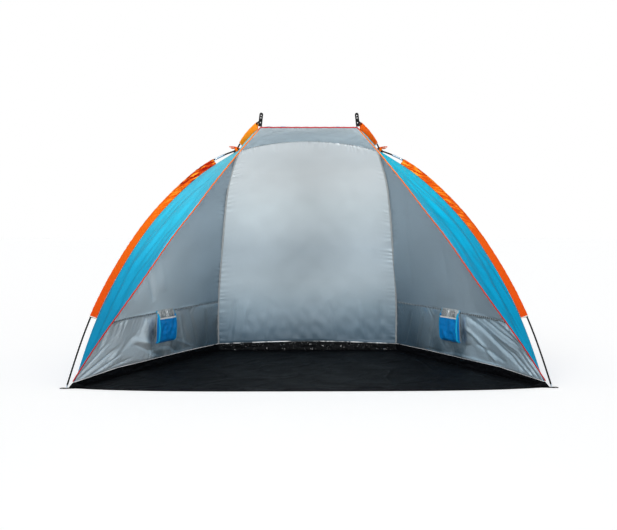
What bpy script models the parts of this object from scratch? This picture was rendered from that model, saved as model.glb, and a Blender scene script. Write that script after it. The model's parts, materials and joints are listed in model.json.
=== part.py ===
"""Beach tent with an open front: one arch pole, two side poles, a sewn shell, a floor and pockets.

Metres, +Z up. The open front faces -Y, the tent is symmetric about X = 0, and the ground is Z = 0.
"""

from math import ceil, cos, pi, radians, sin, sqrt, tan

import bmesh
import bpy
import numpy as np
from mathutils import Matrix, Vector

# Overall shape
SPAN = 2.20                  # between the arch pole's feet
DEPTH = 1.20                 # from the front corners to the rear corners
ARCH_HEIGHT = 1.173          # arch pole's centre line at the crest
ARCH_LEAN = radians(28.0)    # arch leans back from upright
REAR_WIDTH = 1.046           # between the rear corners
CROSSING_WIDTH = 0.72        # between the two pole crossings
ROOF_FRONT_WIDTH = 0.464     # front edge of the roof
ROOF_FRONT_DEPTH = 0.30      # front edge of the roof, behind the feet
ROOF_FRONT_LIFT = 0.032      # front edge of the roof, above the crest
ROOF_RISE = 0.011            # bow of the roof's side seams
HEART_HEIGHT = 0.45          # point on the middle plane that the poles bow away from

# Poles
POLE_DIAMETER = 0.0079
POLE_WALL = 0.0014
ARCH_SECTIONS = 8
SIDE_SECTIONS = 3
FERRULE_LENGTH = 0.056
FERRULE_WALL = 0.0008
SHOWN_JOINT = 3              # arch joint past the end of the sleeve, counted from the foot
CORD_DIAMETER = 0.0030
SLIDING_FIT = 0.0003         # gap between parts that slide into each other
BUTT_GAP = 0.0009            # between the ends of two sections inside a ferrule
STATION = 0.095              # distance between the points of a pole's centre line

# Pole tips
TIP_LENGTH = 0.016           # from the ground to the end of the tube
PIN_DIAMETER = 0.0045
PIN_LENGTH = 0.011
SHANK_LENGTH = 0.018
END_PIN_REACH = 0.0035       # past the far face of the tongue

# Cloth
FABRIC = 0.0010
SEAM_GAP = 0.0008            # from a seam line to the edge of a panel
PIPING_DIAMETER = 0.0045
BLUNT_SHARE = 0.18           # how far a pointed panel stops short of its last row
WING_PLEAT = 0.006           # height of the pleats that fan out over a wing
WING_PLEATS = 3

# Floor
FLOOR_THICKNESS = 0.0012
FLOOR_BOW = 0.085            # front edge in front of the feet
BOW_SQUARENESS = 4           # how fast the front edge turns back at its corners
RIM_FRONT = 0.026            # height of the upturned rim at the front corners
RIM_SIDE = 0.045
RIM_REAR = 0.040
RIM_REAR_MIDDLE = 0.056
RIM_RUN = 0.30               # length over which the side rim reaches its height

# Sleeves
SLEEVE_WALL = 0.0008
SLEEVE_EDGE = 0.0024         # thickness of a sleeve at its sewn edge
SLEEVE_OPEN_ANGLE = radians(62.0)   # from the sewn edge to where the round part starts
STANDOFF = 0.030             # seam line to the pole, along a sleeve
ROOF_STANDOFF = 0.020
TONGUE_STANDOFF = 0.034
ARCH_SLEEVE_START = 0.354    # along the pole, from its foot
ARCH_SLEEVE_CLEAR = 0.036    # from the sleeve's end to the joint that shows above it
REAR_SLEEVE_START = 0.30
REAR_SLEEVE_CLEAR = 0.10     # from the sleeve's end to the crossing
ROOF_SLEEVE_CLEAR = 0.065
ROOF_SLEEVE_SHORT = 0.045    # from the sleeve's end to the tongue
RIBBON_STRETCH = 0.10        # over which a pole comes down to the crossing

# Corner webbing
WEBBING = 0.0015
WEBBING_WIDTH = 0.026
EYELET_MARGIN = 0.004        # webbing left round the eyelet
EYELET_DIAMETER = 0.0085
LOOP_REACH = 0.020
LOOP_BEVEL = 0.0052
LOOP_HOLE_WIDTH = 0.013
LOOP_HOLE_REACH = 0.009
REAR_TAB_ANGLE = radians(58.0)

# Tongues
TONGUE_WIDTH = 0.019
TONGUE_HEIGHT = 0.067
TONGUE_THICKNESS = 0.0020
TONGUE_LEAN = radians(7.0)   # its top leans towards the middle
TONGUE_HOLE = 0.0058
TONGUE_PITCH = 0.0115
TONGUE_HOLES_ABOVE = 2
TONGUE_HOLES_BELOW = 1

# Ribbons
RIBBON_THICKNESS = 0.0010
RIBBON_BAND = 0.009
RIBBON_FIT = 0.0005
BOW_WIDTH = 0.040
BOW_HEIGHT = 0.012
BOW_THICKNESS = 0.0030

# Pockets
POCKET_WIDTH = 0.162
POCKET_HEIGHT = 0.178
POCKET_DEPTH = 0.024
POCKET_MOUTH_DROP = 0.040    # front edge of the mouth, below the wall seam
POCKET_WALL = 0.0008
POCKET_SWELL_SHARE = 0.25    # of the depth, gained half way down
POCKET_FOOT_SHARE = 1 / 3    # of the depth, at the foot
POCKET_SQUARENESS = 3        # how square the pocket is, seen from above
POCKET_FOLD = 0.0022
POCKET_FOLDS = 4
POCKET_PLACE_SHARE = 0.52    # along the side wall, from the opening to the rear seam
WALL_SEAM_SHARE = 0.20       # up the side panel
HANGING_GAP = 0.0005

# Shares of the half span and of the arch height, from the foot to the crest
ARCH_SHARES = (
    (1.000, 0.000), (0.932, 0.258), (0.820, 0.500), (0.722, 0.650),
    (0.590, 0.795), (0.437, 0.912), (0.220, 0.981), (0.000, 1.000),
)
# Shares of the way in, forward and up, from the rear corner to the crossing
REAR_SEAM_SHARES = (
    (0.000, 0.000, 0.000), (0.025, 0.058, 0.233), (0.166, 0.164, 0.466), (0.334, 0.329, 0.671),
    (0.570, 0.592, 0.855), (0.865, 0.872, 0.960), (1.000, 1.000, 1.000),
)
# Shares of the way in and up, from the front corner to the roof's front corner
OPENING_SHARES = (
    (0.000, 0.000), (0.122, 0.140), (0.236, 0.259), (0.396, 0.426), (0.527, 0.566),
    (0.628, 0.661), (0.738, 0.768), (0.833, 0.855), (0.900, 0.915), (1.000, 1.000),
)

ACROSS_WALL = 8              # cells across the side, rear and roof panels
ACROSS_WING = 8
POCKET_ROWS = 8
POCKET_SIDES = 20
ROUND_SIDES = 12
SLEEVE_TURNS = 7
CURVE_STEPS = 40             # between two given points of a smooth curve
CREASE_ANGLE = radians(40.0)
MERGE_DISTANCE = 0.00001

FERRULE_RADIUS = POLE_DIAMETER / 2 + SLIDING_FIT + FERRULE_WALL
POLE_BORE = POLE_DIAMETER - 2 * POLE_WALL
LYING = FERRULE_RADIUS + FABRIC / 2 + SEAM_GAP   # seam line to a pole that lies on it

COLOURS = {
    "black": (0.012, 0.013, 0.015), "steel": (0.55, 0.56, 0.57), "elastic": (0.62, 0.62, 0.60),
    "orange": (0.90, 0.22, 0.012), "red": (0.52, 0.07, 0.06), "blue": (0.045, 0.36, 0.60),
    "silver": (0.36, 0.42, 0.45), "pocket": (0.012, 0.14, 0.40), "floor": (0.008, 0.009, 0.011),
    "trim": (0.75, 0.17, 0.05),
}


# The scene and its collections

for old in list(bpy.data.objects):
    bpy.data.objects.remove(old, do_unlink=True)

TENT = bpy.data.collections.new("beach_tent")
CUTTERS = bpy.data.collections.new("cutters")
bpy.context.scene.collection.children.link(TENT)
bpy.context.scene.collection.children.link(CUTTERS)


def material(name, roughness, metallic=0.0):
    """Return the material of one colour, made the first time it is asked for."""
    found = bpy.data.materials.get(name)
    if found:
        return found
    made = bpy.data.materials.new(name)
    made.use_nodes = True
    shader = made.node_tree.nodes["Principled BSDF"]
    shader.inputs["Base Color"].default_value = (*COLOURS[name], 1.0)
    shader.inputs["Roughness"].default_value = roughness
    shader.inputs["Metallic"].default_value = metallic
    made.diffuse_color = (*COLOURS[name], 1.0)
    return made


def add(name, data, look, collection=TENT):
    """Put new object data into a collection, with its material."""
    thing = bpy.data.objects.new(name, data)
    collection.objects.link(thing)
    data.materials.append(look)
    return thing


def mesh_object(name, points, faces, look, collection=TENT):
    """Make an object from points and faces, with its faces turned the same way."""
    data = bpy.data.meshes.new(name)
    data.from_pydata([tuple(map(float, point)) for point in points], [], faces)
    shape = bmesh.new()
    shape.from_mesh(data)
    bmesh.ops.recalc_face_normals(shape, faces=shape.faces)
    shape.to_mesh(data)
    shape.free()
    data.shade_smooth()
    data.set_sharp_from_angle(angle=CREASE_ANGLE)
    return add(name, data, look, collection)


def thicken(thing, thickness, offset):
    """Give an open surface a thickness."""
    solid = thing.modifiers.new("thickness", "SOLIDIFY")
    solid.thickness = thickness
    solid.offset = offset
    solid.use_even_offset = True


def cut(thing, cutter, operation):
    """Cut one object by another, or join them."""
    cutter.hide_render = True
    cutter.display_type = "WIRE"
    change = thing.modifiers.new(cutter.name, "BOOLEAN")
    change.operation = operation
    change.solver = "EXACT"
    change.object = cutter


# Paths

def unit(vector):
    """Return a vector of length one."""
    return vector / np.linalg.norm(vector)


def mirrored(points):
    """Return points on the other side of the middle plane."""
    return np.array(points) * np.array([-1.0, 1.0, 1.0])


def lengths_along(points):
    """Return the distance of each point from the first, along the points."""
    steps = np.linalg.norm(np.diff(points, axis=0), axis=1)
    return np.concatenate(([0.0], np.cumsum(steps)))


def smooth(points, cells):
    """Return evenly spaced points on a natural cubic curve through the given points."""
    knots = np.array(points, dtype=float)
    at = lengths_along(knots)
    gaps = np.diff(at)
    count = len(knots)
    system = np.eye(count)
    right = np.zeros_like(knots)
    for i in range(1, count - 1):
        system[i, i - 1:i + 2] = gaps[i - 1], 2 * (gaps[i - 1] + gaps[i]), gaps[i]
        slopes = (knots[i + 1] - knots[i]) / gaps[i] - (knots[i] - knots[i - 1]) / gaps[i - 1]
        right[i] = 6 * slopes
    bends = np.linalg.solve(system, right)
    fine = []
    for i in range(count - 1):
        for step in np.linspace(0.0, 1.0, CURVE_STEPS, endpoint=(i == count - 2)):
            rest = 1.0 - step
            chord = rest * knots[i] + step * knots[i + 1]
            sag = (rest ** 3 - rest) * bends[i] + (step ** 3 - step) * bends[i + 1]
            fine.append(chord + sag * gaps[i] ** 2 / 6)
    fine = np.array(fine)
    along = lengths_along(fine)
    wanted = np.linspace(0.0, along[-1], cells + 1)
    return np.column_stack([np.interp(wanted, along, fine[:, axis]) for axis in range(3)])


def cells_along(length):
    """Return how many station steps a length takes."""
    return max(2, ceil(length / STATION))


class Path:
    """A centre line of straight steps, with an outward direction at each point."""

    def __init__(self, points, heart):
        self.points = np.array(points, dtype=float)
        self.along = lengths_along(self.points)
        self.length = self.along[-1]
        self.heart = np.array(heart, dtype=float)

    def blend(self, values, distance):
        """Return what the values are at a distance along the path."""
        return np.array([np.interp(distance, self.along, values[:, axis]) for axis in range(3)])

    def point(self, distance):
        """Return the place at a distance along the path."""
        return self.blend(self.points, distance)

    def tangents(self):
        """Return the direction of the path at each point."""
        return np.array([unit(step) for step in np.gradient(self.points, self.along, axis=0)])

    def tangent(self, distance):
        """Return the direction of the path at a distance along it."""
        return unit(self.blend(self.tangents(), distance))

    def outwards(self):
        """Return the direction away from the heart at each point, square to the path."""
        found = []
        for place, forward in zip(self.points, self.tangents()):
            away = place - self.heart
            found.append(unit(away - forward * np.dot(away, forward)))
        return np.array(found)

    def outward(self, distance):
        """Return the outward direction at a distance along the path."""
        return unit(self.blend(self.outwards(), distance))

    def distances(self, start, end):
        """Return the distances of the points between two places, with both places."""
        inside = [d for d in self.along if start + SEAM_GAP < d < end - SEAM_GAP]
        return np.array([start, *inside, end])

    def stretch(self, start, end):
        """Return the points between two places, with both places."""
        return np.array([self.point(d) for d in self.distances(start, end)])

    def nearest(self, place):
        """Return the point of the path that lies nearest to a place."""
        starts = self.points[:-1]
        steps = np.diff(self.points, axis=0)
        shares = np.sum((place - starts) * steps, axis=1) / np.sum(steps * steps, axis=1)
        spots = starts + steps * np.clip(shares, 0.0, 1.0)[:, None]
        return spots[int(np.argmin(np.linalg.norm(spots - place, axis=1)))]

    def distance_where(self, axis, value):
        """Return the first distance at which a coordinate passes a value."""
        signs = np.sign(self.points[:, axis] - value)
        i = int(np.argmax(signs[1:] != signs[:-1]))
        first = self.points[i, axis]
        share = (value - first) / (self.points[i + 1, axis] - first)
        return self.along[i] + share * (self.along[i + 1] - self.along[i])


# Skeleton of the tent, right half

def arch_point(width_share, height_share):
    """Return a point of the leaning arch from its shares."""
    height = ARCH_HEIGHT * height_share
    return (SPAN / 2 * width_share, height * tan(ARCH_LEAN), height)


ARCH_HEART = (0.0, HEART_HEIGHT * tan(ARCH_LEAN), HEART_HEIGHT)
half_arch = [arch_point(*shares) for shares in ARCH_SHARES]
whole_arch = half_arch + [tuple(p) for p in mirrored(half_arch[-2::-1])]
section_cells = cells_along(float(lengths_along(np.array(whole_arch))[-1]) / ARCH_SECTIONS)
ARCH = Path(smooth(whole_arch, ARCH_SECTIONS * section_cells), ARCH_HEART)
ARCH_CROSSING = ARCH.distance_where(0, CROSSING_WIDTH / 2 + LYING / 2)
ARCH_SECTION = (ARCH.length - 2 * TIP_LENGTH) / ARCH_SECTIONS
ARCH_SLEEVE_END = TIP_LENGTH + ARCH_SECTION * SHOWN_JOINT - ARCH_SLEEVE_CLEAR


def arch_standoff(distance):
    """Return how far the seam line lies inside the arch pole."""
    near = min(distance, ARCH.length - distance)
    places = (ARCH_SLEEVE_END, ARCH_CROSSING)
    return float(np.interp(near, places, (STANDOFF, LYING)))


def inside_arch(distance):
    """Return the point of the arch seam beside a place on the pole."""
    return ARCH.point(distance) - ARCH.outward(distance) * arch_standoff(distance)


ARCH_SEAM = Path([inside_arch(d) for d in ARCH.along], ARCH_HEART)
SEAM_START = ARCH_SEAM.distance_where(2, RIM_FRONT + 2 * FABRIC)
SEAM_CROSSING = ARCH_SEAM.distance_where(0, CROSSING_WIDTH / 2)
CROSSING = ARCH_SEAM.point(SEAM_CROSSING)
FRONT_CORNER = np.array([SPAN / 2 - STANDOFF, 0.0, 0.0])
REAR_CORNER = np.array([REAR_WIDTH / 2, DEPTH, 0.0])
REAR_LOW = REAR_CORNER + np.array([0.0, 0.0, RIM_REAR])
ROOF_CORNER = np.array([ROOF_FRONT_WIDTH / 2, ROOF_FRONT_DEPTH, ARCH_HEIGHT + ROOF_FRONT_LIFT])

LOW_SEAM = ARCH_SEAM.stretch(SEAM_START, SEAM_CROSSING)
WALL_ROWS = len(LOW_SEAM) - 1
TOP_SEAM = ARCH_SEAM.stretch(SEAM_CROSSING, ARCH_SEAM.length - SEAM_CROSSING)

rear_places = [REAR_LOW + (CROSSING - REAR_LOW) * np.array(share) for share in REAR_SEAM_SHARES]
roof_middle = (CROSSING + ROOF_CORNER) / 2 + np.array([0.0, 0.0, ROOF_RISE])
REAR_SEAM = smooth(rear_places, WALL_ROWS)
ROOF_SEAM = smooth([CROSSING, roof_middle, ROOF_CORNER],
                   cells_along(float(np.linalg.norm(ROOF_CORNER - CROSSING))))
SIDE_HEART = (0.0, DEPTH / 2, HEART_HEIGHT)
SIDE_SEAM = Path(np.vstack([REAR_SEAM, ROOF_SEAM[1:]]), SIDE_HEART)
SIDE_CROSSING = SIDE_SEAM.along[WALL_ROWS]


def side_pole():
    """Return the side pole's centre line, from its foot to the tongue."""
    over_arch = np.cross(ARCH.tangent(ARCH_CROSSING), SIDE_SEAM.tangent(SIDE_CROSSING))
    over_arch = unit(over_arch) * np.sign(over_arch[2])
    crossing = ARCH.point(ARCH_CROSSING) + over_arch * (POLE_DIAMETER + SLIDING_FIT)
    lift = crossing - CROSSING
    places = (0.0, SIDE_CROSSING - RIBBON_STRETCH, SIDE_CROSSING,
              SIDE_CROSSING + RIBBON_STRETCH, SIDE_SEAM.length)
    offsets = (STANDOFF, STANDOFF, 0.0, ROOF_STANDOFF, TONGUE_STANDOFF)
    points = []
    for distance, place, away in zip(SIDE_SEAM.along, SIDE_SEAM.points, SIDE_SEAM.outwards()):
        near = max(0.0, 1.0 - abs(distance - SIDE_CROSSING) / RIBBON_STRETCH)
        upright = np.interp(distance, places[3:], (0.0, 1.0))
        away = unit(away * (1 - upright) + np.array([0.0, 0.0, upright]))
        points.append(place + away * np.interp(distance, places, offsets) + lift * near)
    down = points[0] - points[1]
    foot = points[0] + down * (points[0][2] / -down[2])
    return Path([foot, *points], SIDE_HEART)


SIDE = side_pole()
SIDE_POLE_CROSSING = float(SIDE.along[WALL_ROWS + 1])


# Tubes

def tube(name, points, outer, wall, look):
    """Make an open tube along points."""
    curve = bpy.data.curves.new(name, "CURVE")
    curve.dimensions = "3D"
    curve.bevel_depth = outer / 2 - wall / 2
    curve.bevel_resolution = 2
    curve.twist_mode = "Z_UP"
    line = curve.splines.new("POLY")
    line.points.add(len(points) - 1)
    for spot, place in zip(line.points, points):
        spot.co = (*place, 1.0)
    made = add(name, curve, look)
    thicken(made, wall, 0.0)
    return made


def rod(name, points, diameter, resolution, look):
    """Make a solid rod along points."""
    curve = bpy.data.curves.new(name, "CURVE")
    curve.dimensions = "3D"
    curve.bevel_depth = diameter / 2
    curve.bevel_resolution = resolution
    curve.use_fill_caps = True
    line = curve.splines.new("POLY")
    line.points.add(len(points) - 1)
    for spot, place in zip(line.points, points):
        spot.co = (*place, 1.0)
    return add(name, curve, look)


def turned(name, profile, place, forward, look, collection=TENT):
    """Turn a profile of (radius, distance) pairs about the forward direction."""
    data = bpy.data.meshes.new(name)
    data.from_pydata([(radius, 0.0, height) for radius, height in profile], [],
                     [(i, i + 1) for i in range(len(profile) - 1)])
    made = add(name, data, look, collection)
    spin = made.modifiers.new("turn", "SCREW")
    spin.steps = ROUND_SIDES
    spin.render_steps = ROUND_SIDES
    spin.use_merge_vertices = True
    spin.merge_threshold = MERGE_DISTANCE
    spin.use_normal_flip = True
    made.rotation_mode = "QUATERNION"
    made.rotation_quaternion = Vector(forward).to_track_quat("Z", "Y")
    made.location = place
    return made


def tip(name, path, reverse):
    """Make the metal tip in the foot of a pole: a pin, a collar and a shank in the bore."""
    forward = path.tangent(0.0)
    place = path.point(0.0)
    if reverse:
        forward = -path.tangent(path.length)
        place = path.point(path.length)
    shank = (POLE_BORE - SLIDING_FIT) / 2 - SLIDING_FIT
    top = TIP_LENGTH - SLIDING_FIT
    profile = (
        (0.0, TIP_LENGTH + SHANK_LENGTH), (shank, TIP_LENGTH + SHANK_LENGTH), (shank, top),
        (POLE_DIAMETER / 2, top), (POLE_DIAMETER / 2, PIN_LENGTH), (PIN_DIAMETER / 2, PIN_LENGTH),
        (PIN_DIAMETER / 2, PIN_DIAMETER / 2), (0.0, PIN_DIAMETER / 4),
    )
    return turned(name, profile, place, forward, material("steel", 0.35, 1.0))


def pole(prefix, path, sections, start, end):
    """Make a pole of equal sections, with a ferrule at each joint."""
    joints = np.linspace(start, end, sections + 1)
    black = material("black", 0.4)
    tubes = []
    for i in range(sections):
        low = joints[i] + (BUTT_GAP / 2 if i else 0.0)
        high = joints[i + 1] - (BUTT_GAP / 2 if i < sections - 1 else 0.0)
        points = path.stretch(low, high)
        tubes.append(tube(f"{prefix}_section_{i + 1}", points, POLE_DIAMETER, POLE_WALL, black))
    for i, joint in enumerate(joints[1:-1]):
        points = path.stretch(joint - FERRULE_LENGTH / 2, joint + FERRULE_LENGTH / 2)
        bore = 2 * FERRULE_RADIUS
        tube(f"{prefix}_ferrule_{i + 1}", points, bore, FERRULE_WALL, material("steel", 0.35, 1.0))
    return tubes


def make_arch_pole():
    """Make the arch pole with its tips and shock cord."""
    pole("arch", ARCH, ARCH_SECTIONS, TIP_LENGTH, ARCH.length - TIP_LENGTH)
    tip("arch_tip_right", ARCH, False)
    tip("arch_tip_left", ARCH, True)
    inset = TIP_LENGTH + SHANK_LENGTH + SLIDING_FIT
    cord = ARCH.stretch(inset, ARCH.length - inset)
    rod("arch_shock_cord", cord, CORD_DIAMETER, 0, material("elastic", 0.8))


def make_side_pole(side, path):
    """Make a side pole with its foot tip, its shock cord and the pin in its front end."""
    prefix = f"side_pole_{side}"
    end = path.length - TONGUE_THICKNESS
    tubes = pole(prefix, path, SIDE_SECTIONS, TIP_LENGTH, end)
    tip(f"{prefix}_tip", path, False)
    forward = path.tangent(path.length)
    bond = POLE_DIAMETER / 2 - POLE_WALL / 2
    reach = path.length + TONGUE_THICKNESS / 2 + END_PIN_REACH - end
    profile = ((0.0, reach), (PIN_DIAMETER / 2, reach), (PIN_DIAMETER / 2, -POLE_DIAMETER / 4),
               (bond, -POLE_DIAMETER / 4), (bond, -SHANK_LENGTH), (0.0, -SHANK_LENGTH))
    pin = turned(f"{prefix}_end_pin", profile, path.point(end), forward,
                 material("black", 0.4), CUTTERS)
    front = meshed(tubes[-1])
    cut(front, pin, "UNION")
    inset = TIP_LENGTH + SHANK_LENGTH + SLIDING_FIT
    cord = path.stretch(inset, end - SHANK_LENGTH - SLIDING_FIT)
    rod(f"{prefix}_shock_cord", cord, CORD_DIAMETER, 0, material("elastic", 0.8))


def meshed(thing):
    """Replace a curve object by the mesh that it makes."""
    name = thing.name
    bpy.context.view_layer.update()
    seen = thing.evaluated_get(bpy.context.evaluated_depsgraph_get())
    data = bpy.data.meshes.new_from_object(seen)
    shape = bmesh.new()
    shape.from_mesh(data)
    bmesh.ops.remove_doubles(shape, verts=shape.verts, dist=MERGE_DISTANCE)
    bmesh.ops.recalc_face_normals(shape, faces=shape.faces)
    shape.to_mesh(data)
    shape.free()
    place = thing.matrix_world.copy()
    collection = thing.users_collection[0]
    bpy.data.objects.remove(thing, do_unlink=True)
    made = bpy.data.objects.new(name, data)
    collection.objects.link(made)
    made.matrix_world = place
    return made


# Cloth panels

def between(first, last, shares):
    """Return points on the straight line between two points."""
    return np.array([first + (last - first) * share for share in shares])


def patch(left, right, bottom, top):
    """Fill four edges with a grid: left and right run up, bottom and top run from left to right."""
    rows = np.linspace(0.0, 1.0, len(left))
    columns = np.linspace(0.0, 1.0, len(bottom))
    grid = np.zeros((len(rows), len(columns), 3))
    for j, v in enumerate(rows):
        for i, u in enumerate(columns):
            ruled = (1 - u) * left[j] + u * right[j] + (1 - v) * bottom[i] + v * top[i]
            corners = (1 - u) * (1 - v) * bottom[0] + u * (1 - v) * bottom[-1]
            corners = corners + (1 - u) * v * top[0] + u * v * top[-1]
            grid[j, i] = ruled - corners
    return grid


def drawn_in(grid, left=SEAM_GAP, right=SEAM_GAP, bottom=SEAM_GAP, top=SEAM_GAP):
    """Move the edges of a grid inwards, along the cloth, by the gaps given."""
    moved = grid.copy()
    moved[0] += [unit(step) * bottom for step in grid[1] - grid[0]]
    moved[-1] += [unit(step) * top for step in grid[-2] - grid[-1]]
    for row in moved:
        along = lengths_along(row)
        kept = left + (along[-1] - left - right) * along / along[-1]
        row[:] = np.column_stack([np.interp(kept, along, row[:, axis]) for axis in range(3)])
    return moved


def blunted(grid):
    """Stop a pointed panel short of its last row."""
    moved = grid.copy()
    moved[-1] = grid[-2] + (grid[-1] - grid[-2]) * (1 - BLUNT_SHARE)
    return moved


def grid_faces(rows, columns, around=False):
    """Return the faces of a grid of points, closed across its columns if it goes around."""
    faces = []
    across = columns if around else columns - 1
    for j in range(rows - 1):
        for i in range(across):
            right = (i + 1) % columns
            faces.append((j * columns + i, j * columns + right,
                          (j + 1) * columns + right, (j + 1) * columns + i))
    return faces


def panel(name, grid, look):
    """Make a cloth panel from a grid of points."""
    rows, columns, _ = grid.shape
    made = mesh_object(name, grid.reshape(-1, 3), grid_faces(rows, columns), look)
    thicken(made, FABRIC, 0.0)
    return made


def flipped(grid):
    """Return a grid on the other side of the middle plane."""
    return grid * np.array([-1.0, 1.0, 1.0])


ACROSS = np.linspace(0.0, 1.0, ACROSS_WALL + 1)


def rim_height(distance):
    """Return the height of the side rim at a distance behind the front corner."""
    return float(np.interp(distance, (0.0, RIM_RUN, DEPTH - RIM_RUN, DEPTH),
                           (RIM_FRONT, RIM_SIDE, RIM_SIDE, RIM_REAR)))


def side_rim():
    """Return the top of the side rim, from the front corner to the rear corner."""
    line = between(FRONT_CORNER, REAR_CORNER, ACROSS)
    heights = [rim_height(place[1]) for place in line]
    return line + np.column_stack((np.zeros((len(line), 2)), heights))


def rear_rim():
    """Return the top of the rear rim, from the right corner to the left."""
    line = between(REAR_CORNER, mirrored(REAR_CORNER), np.linspace(0.0, 1.0, len(TOP_SEAM)))
    bulge = [RIM_REAR + (RIM_REAR_MIDDLE - RIM_REAR) * sin(pi * share)
             for share in np.linspace(0.0, 1.0, len(TOP_SEAM))]
    return line + np.column_stack((np.zeros((len(line), 2)), bulge))


def side_grid():
    """Return the right side panel's grid, from the arch seam back to the rear seam."""
    rim = side_rim()
    rim[0] = LOW_SEAM[0]
    return patch(LOW_SEAM, REAR_SEAM, rim, np.repeat(CROSSING[None], len(rim), axis=0))


def opening_edge():
    """Return the edge of the opening, from the front corner to the roof's front corner."""
    start = FRONT_CORNER + np.array([0.0, 0.0, RIM_FRONT + PIPING_DIAMETER])
    way = ROOF_CORNER - start
    places = []
    for in_share, up_share in OPENING_SHARES:
        places.append(start + way * np.array([in_share, up_share, up_share]))
    return smooth(places, len(LOW_SEAM) + len(ROOF_SEAM) - 2)


def wing_grid():
    """Return the right wing's grid, from the seam to the edge of the opening."""
    seam = np.vstack([LOW_SEAM, ROOF_SEAM[1:]])
    edge = opening_edge()
    across = np.linspace(0.0, 1.0, ACROSS_WING + 1)
    grid = patch(seam, edge, between(seam[0], edge[0], across), between(seam[-1], edge[-1], across))
    rows = len(seam)
    pleated = grid.copy()
    for j in range(1, rows - 1):
        for i in range(1, ACROSS_WING):
            normal = unit(np.cross(grid[j + 1, i] - grid[j - 1, i], grid[j, i + 1] - grid[j, i - 1]))
            height = WING_PLEAT * sin(pi * j / (rows - 1)) * sin(pi * i / ACROSS_WING)
            wave = sin(2 * pi * WING_PLEATS * i / ACROSS_WING)
            pleated[j, i] = grid[j, i] + normal * height * wave
    return pleated


def make_panels():
    """Make the roof, rear, side and wing panels."""
    silver = material("silver", 0.55)
    blue = material("blue", 0.55)
    bound = PIPING_DIAMETER / 2 + SEAM_GAP
    side = blunted(side_grid())
    side = drawn_in(side, top=0.0)
    panel("side_panel_right", side, silver)
    panel("side_panel_left", flipped(side), silver)
    wing = blunted(wing_grid())
    wing = drawn_in(wing, right=bound, bottom=bound, top=bound)
    panel("wing_right", wing, blue)
    panel("wing_left", flipped(wing), blue)
    rear = patch(REAR_SEAM, mirrored(REAR_SEAM), rear_rim(), TOP_SEAM)
    panel("rear_panel", drawn_in(rear), silver)
    front_edge = between(ROOF_CORNER, mirrored(ROOF_CORNER), np.linspace(0.0, 1.0, len(TOP_SEAM)))
    roof = patch(ROOF_SEAM, mirrored(ROOF_SEAM), TOP_SEAM, front_edge)
    panel("roof_panel", drawn_in(roof, top=bound), silver)
    return side


def make_piping():
    """Make the piping round the opening."""
    edge = opening_edge()
    top = between(ROOF_CORNER, mirrored(ROOF_CORNER), np.linspace(0.0, 1.0, len(TOP_SEAM)))
    line = np.vstack([edge, top[1:-1], mirrored(edge)[::-1]])
    rod("opening_piping", line, PIPING_DIAMETER, 1, material("trim", 0.6))


# Floor

def make_floor():
    """Make the floor: a flat sheet with a rim turned up along both sides and the rear."""
    rows = ACROSS_WALL
    columns = len(TOP_SEAM)
    points = []
    for share in ACROSS:
        corner = FRONT_CORNER + (REAR_CORNER - FRONT_CORNER) * share
        bow = FLOOR_BOW * (1 - share)
        for place in np.linspace(1.0, -1.0, columns):
            shift = bow * (1 - place ** BOW_SQUARENESS)
            points.append((corner[0] * place, corner[1] - shift, 0.0))
    faces = grid_faces(rows + 1, columns)
    rim = side_rim()
    heights = np.interp(ACROSS * DEPTH, rim[:, 1], rim[:, 2])
    back = rear_rim()
    edge = [(j * columns, heights[j]) for j in range(rows)]
    edge += [(rows * columns + i, back[i, 2]) for i in range(columns)]
    edge += [(j * columns + columns - 1, heights[j]) for j in range(rows - 1, -1, -1)]
    first = len(points)
    for index, height in edge:
        base = points[index]
        points.append((base[0], base[1], float(height)))
    for k in range(len(edge) - 1):
        faces.append((edge[k][0], edge[k + 1][0], first + k + 1, first + k))
    made = mesh_object("floor", points, faces, material("floor", 0.6))
    thicken(made, FLOOR_THICKNESS, inward_offset(made))


def inward_offset(thing):
    """Return the offset that thickens the floor upwards, whichever way its faces look."""
    lowest = min(thing.data.polygons, key=lambda face: abs(face.center.z))
    return -1.0 if lowest.normal.z < 0 else 1.0


# Sleeves

def sleeve(name, path, seam, start, end, side):
    """Make a flat sleeve round a pole, sewn along the seam line inside the pole."""
    turns = np.linspace(SLEEVE_OPEN_ANGLE, 2 * pi - SLEEVE_OPEN_ANGLE, SLEEVE_TURNS)
    flat_side = cos((turns[1] - turns[0]) / 2)
    inner = (FERRULE_RADIUS + SLIDING_FIT) / flat_side + SLEEVE_WALL / 2
    points = []
    stops = path.distances(start, end)
    for distance in stops:
        centre = path.point(distance)
        forward = path.tangent(distance)
        to_seam = seam.nearest(centre) - centre
        inward = to_seam - forward * np.dot(to_seam, forward)
        far = float(np.linalg.norm(inward)) - FABRIC / 2 - SLEEVE_WALL / 2 - SLIDING_FIT
        inward = unit(inward)
        across = np.cross(forward, inward)
        ring = [(inner * cos(turn), inner * sin(turn)) for turn in turns]
        ring += [(far, -SLEEVE_EDGE / 2), (far, SLEEVE_EDGE / 2)]
        points += [centre + inward * a + across * b for a, b in ring]
    if side == "left":
        points = mirrored(points)
    faces = grid_faces(len(stops), len(turns) + 2, around=True)
    made = mesh_object(name, points, faces, material("orange", 0.6))
    thicken(made, SLEEVE_WALL, 0.0)
    return made


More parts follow.
